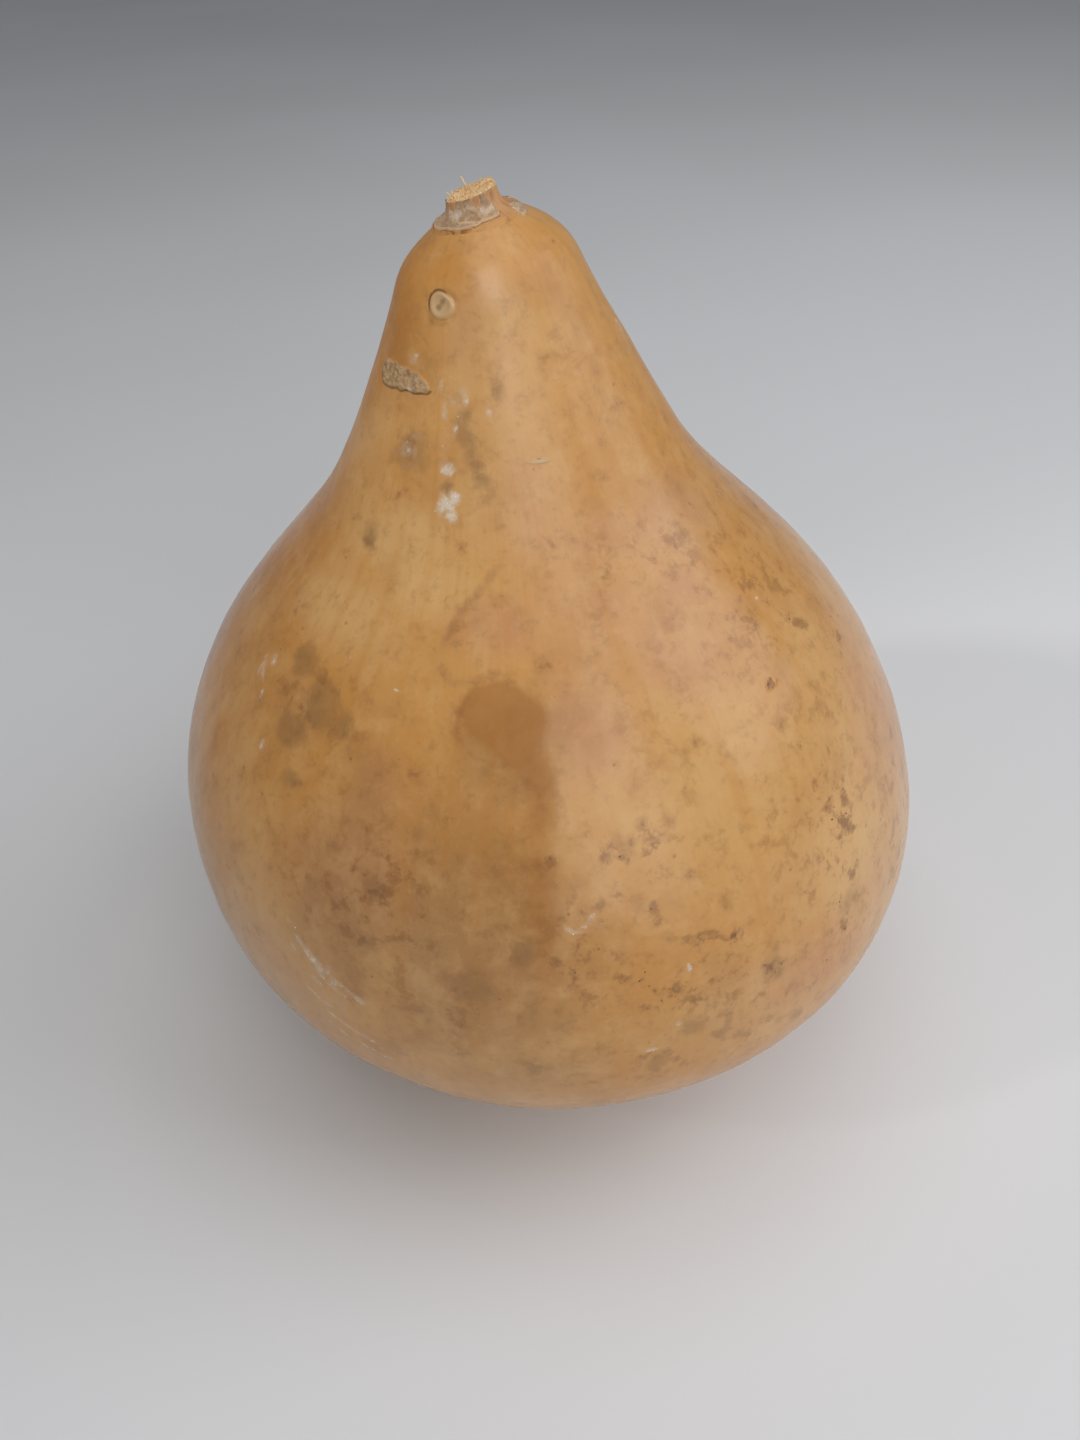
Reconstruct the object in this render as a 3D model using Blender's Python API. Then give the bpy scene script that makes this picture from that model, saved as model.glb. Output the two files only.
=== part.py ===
"""Calabash: a whole dried bottle gourd with its short cut stem.

Metres, +Z up. The gourd stands on z = 0 on its flat spot, with the origin under the middle of
its width. -Y is the front and +X the right-hand side.
"""
import math

import bpy
import bmesh
import numpy as np

# Driving dimensions of the fruit
FRUIT_HEIGHT = 0.2327    # floor to the middle of the stem's seat
BELLY_RADIUS = 0.1004    # widest ring
BELLY_HEIGHT = 0.0790    # height of the widest ring
NECK_RADIUS = 0.0339     # ring where the shoulder turns into the crown
CROWN_LENGTH = 0.0390    # neck ring to the stem's seat
SEAT_RADIUS = 0.0090     # flat seat that the stem grows from
REST_RADIUS = 0.0240     # flat spot that the fruit stands on
CROWN_TILT = 9.5         # degrees that the seat leans towards -X

# Driving dimensions of the stem
STEM_HEIGHT = 0.0049     # seat to the middle of the cut
STEM_RADIUS = 0.0053     # at the cut
STEM_LOBES = 5           # blunt ridges round the stem
LOBE_DEPTH = 0.0003      # how far the ridges stand out, and the hollows in
CLEARANCE = 0.0003       # gap between the seat and the stem

# Outline of the fruit in three spans. Each row is a share of the span's height and a share of
# the change in radius along it.
UNDERSIDE = ((0.0, 0.0), (0.04, 0.21), (0.12, 0.40), (0.31, 0.647), (0.57, 0.858), (0.79, 0.97))
SHOULDER = ((0.0, 0.0), (0.11, 0.015), (0.32, 0.12), (0.53, 0.34), (0.705, 0.62), (0.86, 0.86))
CROWN = ((0.0, 0.0), (0.35, 0.28), (0.62, 0.485), (0.815, 0.635), (1.0, 1.0))

# How the fruit's axis sways to the side: share of the fruit's height, offset along X
AXIS_SWAY = ((0.0, -0.0056), (0.19, 0.0010), (0.30, 0.0009), (0.50, -0.0025), (0.70, -0.0031),
             (0.83, -0.0058), (1.0, -0.0094))
TILT_START = 0.785       # share of the fruit's height where the crown starts to lean

# Outline of the stem: share of its height, share of the way from the seat's radius to the cut's
STEM_OUTLINE = ((0.0, 0.0), (0.10, 0.04), (0.22, 0.36), (0.40, 0.70), (0.64, 0.90), (1.0, 1.0))

FRUIT_SEGMENTS = 64
FRUIT_RINGS = 42
STEM_SEGMENTS = 40
STEM_RINGS = 9


def remove_everything():
    for thing in list(bpy.data.objects):
        bpy.data.objects.remove(thing, do_unlink=True)


def smooth_curve(points, count, spacing_columns):
    """Points of a natural cubic spline through the given rows, its parameter their distance."""
    points = np.array(points, dtype=float)
    steps = np.linalg.norm(np.diff(points[:, :spacing_columns], axis=0), axis=1)
    knots = np.concatenate([[0.0], np.cumsum(steps)])
    size = len(knots)
    matrix = np.eye(size)
    right_side = np.zeros_like(points)
    for i in range(1, size - 1):
        before, after = steps[i - 1], steps[i]
        matrix[i, i - 1:i + 2] = before, 2.0 * (before + after), after
        slope_change = (points[i + 1] - points[i]) / after - (points[i] - points[i - 1]) / before
        right_side[i] = 6.0 * slope_change
    bends = np.linalg.solve(matrix, right_side)
    places = np.linspace(0.0, knots[-1], count)
    spans = np.clip(np.searchsorted(knots, places, side="right") - 1, 0, size - 2)
    length = steps[spans][:, None]
    low = (places - knots[spans])[:, None]
    high = length - low
    curve = (bends[spans] * high ** 3 + bends[spans + 1] * low ** 3) / (6.0 * length)
    curve += (points[spans] / length - bends[spans] * length / 6.0) * high
    curve += (points[spans + 1] / length - bends[spans + 1] * length / 6.0) * low
    return curve


def span_points(rows, low, high):
    """Rows of shares between two (height, radius) corners, as heights and radii."""
    return [[a + share * (b - a) for share, a, b in zip(row, low, high)] for row in rows]


def fruit_outline():
    """Heights and radii of the fruit's rings, from the flat spot up to the stem's seat."""
    foot = (0.0, REST_RADIUS)
    belly = (BELLY_HEIGHT, BELLY_RADIUS)
    neck = (FRUIT_HEIGHT - CROWN_LENGTH, NECK_RADIUS)
    seat = (FRUIT_HEIGHT, SEAT_RADIUS)
    corners = span_points(UNDERSIDE, foot, belly)
    corners += span_points(SHOULDER, belly, neck)
    corners += span_points(CROWN, neck, seat)
    return smooth_curve(corners, FRUIT_RINGS, 2)


def axis_offset(height):
    """Sideways place of the fruit's axis at a height."""
    sway = smooth_curve(AXIS_SWAY, 200, 1)
    return np.interp(height / FRUIT_HEIGHT, sway[:, 0], sway[:, 1])


def axis_tilt(height):
    """Lean of the ring at a height, in radians, growing evenly up the crown."""
    share = (height / FRUIT_HEIGHT - TILT_START) / (1.0 - TILT_START)
    return math.radians(CROWN_TILT) * max(0.0, share)


def tilted_ring(middle, radii, tilt):
    """Points of a ring about `middle`, its +X side lifted by `tilt`."""
    turns = np.linspace(0.0, 2.0 * math.pi, len(radii), endpoint=False)
    across = radii * np.cos(turns)
    return np.stack([
        middle[0] + across * math.cos(tilt),
        middle[1] + radii * np.sin(turns),
        middle[2] + across * math.sin(tilt),
    ], axis=1)


def solid_from_rings(name, rings, material):
    """A closed object skinned over rings of points, with a flat cap at each end."""
    mesh = bpy.data.meshes.new(name)
    bm = bmesh.new()
    loops = [[bm.verts.new(point) for point in ring] for ring in rings]
    for lower, upper in zip(loops, loops[1:]):
        for i in range(len(lower)):
            j = (i + 1) % len(lower)
            bm.faces.new((lower[i], lower[j], upper[j], upper[i]))
    bm.faces.new(tuple(reversed(loops[0])))
    bm.faces.new(tuple(loops[-1]))
    for face in bm.faces:
        face.smooth = len(face.verts) == 4
    bm.to_mesh(mesh)
    bm.free()
    mesh.materials.append(material)
    thing = bpy.data.objects.new(name, mesh)
    bpy.context.scene.collection.objects.link(thing)
    return thing


def plain_material(name, colour, roughness):
    material = bpy.data.materials.new(name)
    material.use_nodes = True
    shader = material.node_tree.nodes["Principled BSDF"]
    shader.inputs["Base Color"].default_value = (*colour, 1.0)
    shader.inputs["Roughness"].default_value = roughness
    shader.inputs["Metallic"].default_value = 0.0
    return material


def fruit_rings():
    rings = []
    for height, radius in fruit_outline():
        middle = (axis_offset(height), 0.0, height)
        rings.append(tilted_ring(middle, np.full(FRUIT_SEGMENTS, radius), axis_tilt(height)))
    return rings


def middle_of_width(rings):
    across = np.concatenate([ring[:, 0] for ring in rings])
    return (across.min() + across.max()) / 2.0


def make_fruit(rings, shift):
    rind = plain_material("rind", (0.52, 0.29, 0.12), 0.45)
    return solid_from_rings("fruit", [ring - shift for ring in rings], rind)


def make_stem(shift):
    """The stub, standing square on the seat and flaring out to the seat's edge."""
    cork = plain_material("stem", (0.36, 0.22, 0.12), 0.85)
    tilt = axis_tilt(FRUIT_HEIGHT)
    seat = np.array([axis_offset(FRUIT_HEIGHT), 0.0, FRUIT_HEIGHT]) - shift
    up = np.array([-math.sin(tilt), 0.0, math.cos(tilt)])
    turns = np.linspace(0.0, 2.0 * math.pi, STEM_SEGMENTS, endpoint=False)
    base, cut = (CLEARANCE, SEAT_RADIUS - LOBE_DEPTH), (STEM_HEIGHT, STEM_RADIUS)
    corners = span_points(STEM_OUTLINE, base, cut)
    rings = []
    for height, radius in smooth_curve(corners, STEM_RINGS, 2):
        radii = radius + LOBE_DEPTH * np.cos(STEM_LOBES * turns)
        rings.append(tilted_ring(seat + up * height, radii, tilt))
    return solid_from_rings("stem", rings, cork)


def main():
    remove_everything()
    rings = fruit_rings()
    shift = np.array([middle_of_width(rings), 0.0, 0.0])
    make_fruit(rings, shift)
    make_stem(shift)


main()
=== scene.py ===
"""Looks of the calabash: a dried bottle gourd with a satin, mould-stained rind and a cut stem.

Metres, +Z up, -Y the front. Marks on the rind are placed by azimuth, in degrees from the front
towards +X, and by height above the floor in millimetres.
"""

import math

import bpy
import numpy as np
from mathutils import Matrix, Vector, noise
from mathutils.bvhtree import BVHTree


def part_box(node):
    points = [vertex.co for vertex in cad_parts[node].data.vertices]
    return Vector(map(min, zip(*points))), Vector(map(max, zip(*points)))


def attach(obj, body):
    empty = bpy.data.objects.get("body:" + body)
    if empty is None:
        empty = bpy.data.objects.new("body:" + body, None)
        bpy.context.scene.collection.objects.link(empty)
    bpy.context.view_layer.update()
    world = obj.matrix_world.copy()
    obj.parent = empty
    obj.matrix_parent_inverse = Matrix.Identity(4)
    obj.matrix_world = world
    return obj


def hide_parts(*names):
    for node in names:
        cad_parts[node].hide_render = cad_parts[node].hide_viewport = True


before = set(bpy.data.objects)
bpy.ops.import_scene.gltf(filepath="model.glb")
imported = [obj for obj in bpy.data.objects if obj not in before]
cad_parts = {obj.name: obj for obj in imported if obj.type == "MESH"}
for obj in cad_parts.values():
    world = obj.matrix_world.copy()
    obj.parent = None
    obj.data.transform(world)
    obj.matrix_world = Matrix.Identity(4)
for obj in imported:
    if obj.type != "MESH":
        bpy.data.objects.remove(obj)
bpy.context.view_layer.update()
FRUIT_LOW, FRUIT_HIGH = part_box("fruit")
STEM_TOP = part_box("stem")[1].z
MM = 0.001

# ------------------------------------------------------------------ sizes, from the frame
FRUIT_TOP = FRUIT_HIGH.z                        # highest edge of the stem's seat
HALF_WIDTH = (FRUIT_HIGH.x - FRUIT_LOW.x) / 2.0

# Corners of the outline: share of FRUIT_TOP, share of HALF_WIDTH
FOOT = (0.0, 0.2386)
BELLY = (0.3373, 0.9980)
NECK = (0.8271, 0.3370)
SEAT = (0.99364, 0.0895)

# The outline between its corners: share of the span's height, share of its change in radius
UNDERSIDE = ((0.0, 0.0), (0.04, 0.21), (0.12, 0.40), (0.31, 0.647), (0.57, 0.858), (0.79, 0.97))
SHOULDER = ((0.0, 0.0), (0.11, 0.015), (0.32, 0.12), (0.53, 0.34), (0.705, 0.62), (0.86, 0.86))
CROWN = ((0.0, 0.0), (0.35, 0.28), (0.62, 0.485), (0.815, 0.635), (1.0, 1.0))

# Sway of the axis: share of the seat's height, share of HALF_WIDTH
AXIS_SWAY = ((0.0, -0.0557), (0.19, 0.0099), (0.30, 0.0089), (0.50, -0.0249), (0.70, -0.0308),
             (0.83, -0.0577), (1.0, -0.0934))
TILT_START = 0.785                              # share of the seat's height
CROWN_TILT = math.radians(9.5)                  # lean of the seat towards -X

# ------------------------------------------------------------------ mesh density
SEGMENTS = 396                                  # round the fruit
RINGS = 246                                     # up the fruit
FRONT_CROWDING = 0.45                           # how much closer the front's columns stand
UNDERSIDE_SPACING = 2.0                         # ring spacing under the belly, against above it
SCAR_RADIUS = 2.0 * MM                          # innermost ring under the foot
FOOT_DISH = 0.9 * MM                            # how far the blossom end sits in
WIDE_RINGS_BELOW = 0.75                         # share of the belly's height
AXIS_POINTS, OUTLINE_POINTS, DISH_POINTS = 300, 2000, 60


def smooth_curve(points, count, spacing_columns):
    """Points of a natural cubic spline through the rows, spaced by their first columns' distance."""
    points = np.array(points, dtype=float)
    steps = np.linalg.norm(np.diff(points[:, :spacing_columns], axis=0), axis=1)
    knots = np.concatenate([[0.0], np.cumsum(steps)])
    size = len(knots)
    matrix = np.eye(size)
    right_side = np.zeros_like(points)
    for i in range(1, size - 1):
        before, after = steps[i - 1], steps[i]
        matrix[i, i - 1:i + 2] = before, 2.0 * (before + after), after
        slope_change = (points[i + 1] - points[i]) / after - (points[i] - points[i - 1]) / before
        right_side[i] = 6.0 * slope_change
    bends = np.linalg.solve(matrix, right_side)
    places = np.linspace(0.0, knots[-1], count)
    spans = np.clip(np.searchsorted(knots, places, side="right") - 1, 0, size - 2)
    length = steps[spans][:, None]
    low = (places - knots[spans])[:, None]
    high = length - low
    curve = (bends[spans] * high ** 3 + bends[spans + 1] * low ** 3) / (6.0 * length)
    curve += (points[spans] / length - bends[spans] * length / 6.0) * high
    curve += (points[spans + 1] / length - bends[spans + 1] * length / 6.0) * low
    return curve


def span_points(rows, low, high):
    """Rows of shares between two (height, radius) corners, as heights and radii."""
    return [[a + share * (b - a) for share, a, b in zip(row, low, high)] for row in rows]


def sized(corner):
    """A corner of the outline as a height and a radius in metres."""
    return corner[0] * FRUIT_TOP, corner[1] * HALF_WIDTH


SEAT_HEIGHT = sized(SEAT)[0]
SWAY_CURVE = smooth_curve(AXIS_SWAY, AXIS_POINTS, 1)


def sway(height):
    """Sideways bend of the fruit's axis at a height."""
    return np.interp(height / SEAT_HEIGHT, SWAY_CURVE[:, 0], SWAY_CURVE[:, 1]) * HALF_WIDTH


def axis_tilt(height):
    """Lean of the ring at a height, in radians."""
    share = (height / SEAT_HEIGHT - TILT_START) / (1.0 - TILT_START)
    return CROWN_TILT * np.clip(share, 0.0, 1.0)


def rind_outline():
    """Heights and radii of the rind's rings, from the blossom end up to the stem's seat."""
    corners = span_points(UNDERSIDE, sized(FOOT), sized(BELLY))
    corners += span_points(SHOULDER, sized(BELLY), sized(NECK))
    corners += span_points(CROWN, sized(NECK), sized(SEAT))
    outside = smooth_curve(corners, OUTLINE_POINTS, 2)
    foot_radii = np.linspace(SCAR_RADIUS, outside[0, 1], DISH_POINTS)[:-1]
    dish = FOOT_DISH * (1.0 - (foot_radii / outside[0, 1]) ** 2) ** 2
    whole = np.concatenate([np.stack([dish, foot_radii], axis=1), outside])
    steps = np.linalg.norm(np.diff(whole, axis=0), axis=1)
    under = whole[1:, 0] < WIDE_RINGS_BELOW * sized(BELLY)[0]
    weights = np.where(under, steps / UNDERSIDE_SPACING, steps)
    travel = np.concatenate([[0.0], np.cumsum(weights)])
    wanted = np.linspace(0.0, travel[-1], RINGS)
    return np.stack([np.interp(wanted, travel, whole[:, i]) for i in range(2)], axis=1)


OUTLINE = rind_outline()
REACH_LOW = (sway(OUTLINE[:, 0]) - OUTLINE[:, 1]).min()
REACH_HIGH = (sway(OUTLINE[:, 0]) + OUTLINE[:, 1]).max()


def axis_offset(height):
    """Sideways place of the fruit's axis at a height, with the widest part centred on X = 0."""
    return sway(height) - (REACH_LOW + REACH_HIGH) / 2.0


# ------------------------------------------------------------------ node helpers
def add(tree, kind, wires=None, **settings):
    """A new node, with its settings made and its inputs wired or given values."""
    node = tree.nodes.new(kind)
    for name, value in settings.items():
        setattr(node, name, value)
    for key, value in (wires or {}).items():
        if isinstance(value, bpy.types.NodeSocket):
            tree.links.new(value, node.inputs[key])
        else:
            node.inputs[key].default_value = value
    return node


def calc(tree, operation, first, second=0.0):
    return add(tree, "ShaderNodeMath", {0: first, 1: second}, operation=operation).outputs[0]


def geometry_tree(name, inputs):
    """An empty geometry group with a Geometry input, the named inputs and a Geometry output."""
    tree = bpy.data.node_groups.new(name, "GeometryNodeTree")
    tree.interface.new_socket("Geometry", in_out="INPUT", socket_type="NodeSocketGeometry")
    tree.interface.new_socket("Geometry", in_out="OUTPUT", socket_type="NodeSocketGeometry")
    for title, kind in inputs:
        tree.interface.new_socket(title, in_out="INPUT", socket_type="NodeSocket" + kind)
    return tree, add(tree, "NodeGroupInput").outputs, add(tree, "NodeGroupOutput").inputs


def finish_geometry(tree, geometry, material, result):
    """The end of every geometry group: real geometry with its material set."""
    real = add(tree, "GeometryNodeRealizeInstances", {"Geometry": geometry})
    painted = add(tree, "GeometryNodeSetMaterial", {"Geometry": real.outputs[0], "Material": material})
    tree.links.new(painted.outputs[0], result["Geometry"])


def grow(name, host_mesh, tree, values):
    """Runs a geometry group on a mesh and returns the result as a plain mesh object."""
    host = bpy.data.objects.new(name + "_host", host_mesh)
    bpy.context.scene.collection.objects.link(host)
    modifier = host.modifiers.new("grow", "NODES")
    modifier.node_group = tree
    for item in tree.interface.items_tree:
        if item.in_out == "INPUT" and item.name in values:
            modifier[item.identifier] = values[item.name]
    bpy.context.view_layer.update()
    evaluated = host.evaluated_get(bpy.context.evaluated_depsgraph_get())
    mesh = bpy.data.meshes.new_from_object(evaluated)
    mesh.name = name
    bpy.data.objects.remove(host)
    return place(name, mesh)


def place(name, mesh):
    """A mesh as an object at the origin, unturned and unscaled."""
    thing = bpy.data.objects.new(name, mesh)
    bpy.context.scene.collection.objects.link(thing)
    return thing


# ------------------------------------------------------------------ geometry groups
OFF_FOOT = (1.0 * MM, 22.0 * MM)                # heights between which the rind's swelling sets in


def here(tree):
    return add(tree, "GeometryNodeInputPosition").outputs[0]


def rind_tree():
    """A closed skin turned round a swaying spine, then swollen unevenly as a grown fruit is."""
    tree, given, result = geometry_tree("grown_rind", [
        ("Segments", "Int"), ("Rings", "Int"), ("Front Crowding", "Float"),
        ("Swell", "Float"), ("Swell Size", "Float"), ("Dimples", "Float"), ("Dimple Size", "Float"),
        ("Seed", "Float"), ("Material", "Material")])
    side_segments = calc(tree, "SUBTRACT", given["Rings"], 1.0)
    tube = add(tree, "GeometryNodeMeshCylinder", {
        "Vertices": given["Segments"], "Side Segments": side_segments, "Radius": 1.0, "Depth": 1.0})
    parts = add(tree, "ShaderNodeSeparateXYZ", {0: here(tree)})
    turn = calc(tree, "ARCTAN2", parts.outputs["Y"], parts.outputs["X"])
    pull = calc(tree, "MULTIPLY", calc(tree, "SINE", turn), given["Front Crowding"])
    azimuth = calc(tree, "SUBTRACT", turn, pull)
    level = calc(tree, "ADD", parts.outputs["Z"], 0.5)
    ring = calc(tree, "ROUND", calc(tree, "MULTIPLY", level, side_segments))

    def from_spine(kind, value):
        sample = add(tree, "GeometryNodeSampleIndex", {"Geometry": given["Geometry"], "Index": ring},
                     data_type=kind, domain="POINT")
        tree.links.new(value, sample.inputs["Value"])
        return sample.outputs["Value"]

    def stored(title):
        return add(tree, "GeometryNodeInputNamedAttribute", {"Name": title}, data_type="FLOAT").outputs[0]

    middle = from_spine("FLOAT_VECTOR", here(tree))
    radius = from_spine("FLOAT", stored("ring_radius"))
    tilt = from_spine("FLOAT", stored("ring_tilt"))
    across = calc(tree, "MULTIPLY", radius, calc(tree, "SINE", azimuth))
    away = calc(tree, "MULTIPLY", radius, calc(tree, "COSINE", azimuth))
    reach = add(tree, "ShaderNodeCombineXYZ", {
        "X": calc(tree, "MULTIPLY", across, calc(tree, "COSINE", tilt)),
        "Y": calc(tree, "MULTIPLY", away, -1.0),
        "Z": calc(tree, "MULTIPLY", across, calc(tree, "SINE", tilt))})
    place_at = add(tree, "ShaderNodeVectorMath", {0: middle, 1: reach.outputs[0]}, operation="ADD")
    turned = add(tree, "GeometryNodeSetPosition", {
        "Geometry": tube.outputs["Mesh"], "Position": place_at.outputs[0]})

    def uneven(size, depth):
        waves = add(tree, "ShaderNodeTexNoise", {
            "W": given["Seed"], "Scale": calc(tree, "DIVIDE", 1.0, size), "Detail": 1.0},
            noise_dimensions="4D")
        return calc(tree, "MULTIPLY", calc(tree, "SUBTRACT", waves.outputs[0], 0.5), depth)

    height = add(tree, "ShaderNodeSeparateXYZ", {0: here(tree)})
    off_foot = add(tree, "ShaderNodeMapRange", {
        0: height.outputs["Z"], 1: OFF_FOOT[0], 2: OFF_FOOT[1]}, interpolation_type="SMOOTHSTEP")
    swell = calc(tree, "ADD", uneven(given["Swell Size"], given["Swell"]),
                 uneven(given["Dimple Size"], given["Dimples"]))
    push = add(tree, "ShaderNodeVectorMath", {
        0: add(tree, "GeometryNodeInputNormal").outputs[0],
        "Scale": calc(tree, "MULTIPLY", swell, off_foot.outputs[0])}, operation="SCALE")
    swollen = add(tree, "GeometryNodeSetPosition", {
        "Geometry": turned.outputs[0], "Offset": push.outputs[0]})
    smooth = add(tree, "GeometryNodeSetShadeSmooth", {"Geometry": swollen.outputs[0]})
    finish_geometry(tree, smooth.outputs[0], given["Material"], result)
    return tree


def chance(tree, seed, low, high):
    """A random number from low to high for each point."""
    node = add(tree, "FunctionNodeRandomValue", {2: low, 3: high, "Seed": seed}, data_type="FLOAT")
    return node.outputs[1]


def grains_tree():
    """Small lumps sown on a surface where one of its painted fields is strong."""
    tree, given, result = geometry_tree("sown_grains", [
        ("Field", "String"), ("Density", "Float"), ("Grain Size", "Float"), ("Flatness", "Float"),
        ("Seed", "Int"), ("Material", "Material")])
    field = add(tree, "GeometryNodeInputNamedAttribute", {"Name": given["Field"]}, data_type="FLOAT")
    strong = calc(tree, "POWER", field.outputs[0], 5.0)
    sown = add(tree, "GeometryNodeDistributePointsOnFaces", {
        "Mesh": given["Geometry"], "Density": calc(tree, "MULTIPLY", strong, given["Density"]),
        "Seed": given["Seed"]}, distribute_method="RANDOM")
    grain = add(tree, "GeometryNodeMeshIcoSphere", {"Radius": 1.0, "Subdivisions": 2})
    share = chance(tree, given["Seed"], 0.35, 1.3)
    width = calc(tree, "MULTIPLY", share, given["Grain Size"])
    size = add(tree, "ShaderNodeCombineXYZ", {
        "X": width, "Y": calc(tree, "MULTIPLY", width, 0.72),
        "Z": calc(tree, "MULTIPLY", width, given["Flatness"])})
    turn = add(tree, "ShaderNodeCombineXYZ", {"Z": chance(tree, given["Seed"], 0.0, math.tau)})
    facing = add(tree, "FunctionNodeRotateRotation", {
        "Rotation": sown.outputs["Rotation"], "Rotate By": turn.outputs[0]}, rotation_space="LOCAL")
    grains = add(tree, "GeometryNodeInstanceOnPoints", {
        "Points": sown.outputs["Points"], "Instance": grain.outputs["Mesh"],
        "Rotation": facing.outputs[0], "Scale": size.outputs[0]})
    smooth = add(tree, "GeometryNodeSetShadeSmooth", {"Geometry": grains.outputs[0]})
    finish_geometry(tree, smooth.outputs[0], given["Material"], result)
    return tree


def fibres_tree():
    """Broken fibre ends standing on the cut, each a thin tapered stub with its own lean."""
    tree, given, result = geometry_tree("cut_fibres", [
        ("Density", "Float"), ("Fibre Radius", "Float"), ("Fibre Length", "Float"),
        ("Lean", "Float"), ("Seed", "Int"), ("Material", "Material")])
    sown = add(tree, "GeometryNodeDistributePointsOnFaces", {
        "Mesh": given["Geometry"], "Density": given["Density"], "Seed": given["Seed"]})
    stub = add(tree, "GeometryNodeMeshCone", {
        "Vertices": 6, "Side Segments": 2, "Radius Top": 0.35, "Radius Bottom": 1.0, "Depth": 1.0})
    long_share = calc(tree, "POWER", chance(tree, given["Seed"], 0.3, 1.0), 2.0)
    size = add(tree, "ShaderNodeCombineXYZ", {
        "X": given["Fibre Radius"], "Y": given["Fibre Radius"],
        "Z": calc(tree, "MULTIPLY", long_share, given["Fibre Length"])})
    spread = add(tree, "FunctionNodeRandomValue", {0: (-1.0, -1.0, -1.0), "Seed": given["Seed"]},
                 data_type="FLOAT_VECTOR")
    lean = add(tree, "ShaderNodeVectorMath", {0: spread.outputs[0], "Scale": given["Lean"]},
               operation="SCALE")
    facing = add(tree, "FunctionNodeRotateRotation", {
        "Rotation": sown.outputs["Rotation"], "Rotate By": lean.outputs[0]}, rotation_space="LOCAL")
    stubs = add(tree, "GeometryNodeInstanceOnPoints", {
        "Points": sown.outputs["Points"], "Instance": stub.outputs["Mesh"],
        "Rotation": facing.outputs[0], "Scale": size.outputs[0]})
    finish_geometry(tree, stubs.outputs[0], given["Material"], result)
    return tree


# ------------------------------------------------------------------ material helpers
def colour(red, green, blue):
    """Display values out of 255 as a linear colour."""
    shares = [value / 255.0 for value in (red, green, blue)]
    return tuple(s / 12.92 if s <= 0.04045 else ((s + 0.055) / 1.055) ** 2.4 for s in shares) + (1.0,)


def new_material(name, roughness, specular=0.5):
    material = bpy.data.materials.new(name)
    material.use_nodes = True
    tree = material.node_tree
    shader = tree.nodes["Principled BSDF"]
    shader.inputs["Roughness"].default_value = roughness
    shader.inputs["Specular IOR Level"].default_value = specular
    return material, tree, shader


def object_place(tree):
    return add(tree, "ShaderNodeTexCoord").outputs["Object"]


def grain_place(tree):
    """Coordinates that run along the fibres of the rind or the stem."""
    return add(tree, "ShaderNodeAttribute", attribute_name="grain").outputs["Vector"]


def painted(tree, title):
    """One of the fields stored on the mesh's vertices."""
    return add(tree, "ShaderNodeAttribute", attribute_name=title).outputs["Fac"]


def cloud(tree, where, feature, detail=3.0, roughness=0.55, distortion=0.0):
    """Noise whose features are about `feature` metres across."""
    return add(tree, "ShaderNodeTexNoise", {
        "Vector": where, "Scale": 0.5 / feature, "Detail": detail, "Roughness": roughness,
        "Distortion": distortion}).outputs[0]


def rise(tree, value, low, high, most=1.0):
    """0 below low, `most` above high, and smooth between."""
    return add(tree, "ShaderNodeMapRange", {0: value, 1: low, 2: high, 4: most},
               interpolation_type="SMOOTHSTEP").outputs[0]


def ragged(tree, field, texture, raggedness, low, high, most=1.0):
    """A painted field given a ragged edge by a texture."""
    shifted = calc(tree, "MULTIPLY", calc(tree, "SUBTRACT", texture, 0.5), raggedness)
    return rise(tree, calc(tree, "ADD", field, shifted), low, high, most)


def blend(tree, share, first, second):
    return add(tree, "ShaderNodeMix", {0: share, 6: first, 7: second}, data_type="RGBA").outputs[2]


def lay_mark(tree, skin, field, texture, raggedness, low, high, most, tint):
    """Lays a painted field on the skin with a ragged edge; the new skin and the mark's share."""
    share = ragged(tree, painted(tree, field), texture, raggedness, low, high, most)
    return blend(tree, share, skin, tint), share


def mean_of(tree, share, first, second):
    return add(tree, "ShaderNodeMix", {0: share, 2: first, 3: second}, data_type="FLOAT").outputs[0]


def mottle(tree, skin, *rows):
    """Tints the skin where textures are strong; rows of texture, low, high, most and tint."""
    for texture, low, high, most, tint in rows:
        skin = blend(tree, rise(tree, texture, low, high, most), skin, tint)
    return skin


def finish_look(material, shader, skin, layers, depth):
    """Sets the colour and a bump from (value, weight) layers, `depth` metres for a weight of one."""
    tree = material.node_tree
    tree.links.new(skin, shader.inputs["Base Color"])
    total = 0.0
    for value, weight in layers:
        total = calc(tree, "ADD", total, calc(tree, "MULTIPLY", value, weight))
    bump = add(tree, "ShaderNodeBump", {"Height": total, "Distance": depth, "Strength": 1.0})
    tree.links.new(bump.outputs[0], shader.inputs["Normal"])
    return material


# ------------------------------------------------------------------ materials
# The rind's ground tints
STRAW = colour(201, 153, 94)
HONEY = colour(192, 137, 72)
GOLD = colour(182, 118, 36)
ROSE = colour(188, 136, 96)
PALE = colour(208, 166, 110)
# also painted shade on the lower front and the far left side
PATINA_AND_SHADE = colour(139, 101, 67)
BLOOM = colour(122, 90, 56)
STAIN = colour(158, 108, 60)
# Marks on the rind
# a stain's colour, also painted shade in a band down the front
STAIN_AND_SHADE = colour(158, 104, 52)
TIDE = colour(140, 94, 60)
FLECK = colour(128, 84, 46)
CRUST = colour(84, 54, 32)
CHALK = colour(212, 198, 180)
CALLUS = colour(190, 158, 116)
PIT = colour(136, 108, 78)
CORK = colour(180, 150, 112)
CORK_HOLLOW = colour(134, 104, 72)
# cracks, and painted shade under raised scars
CRACK_AND_SHADE = colour(104, 68, 38)
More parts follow.
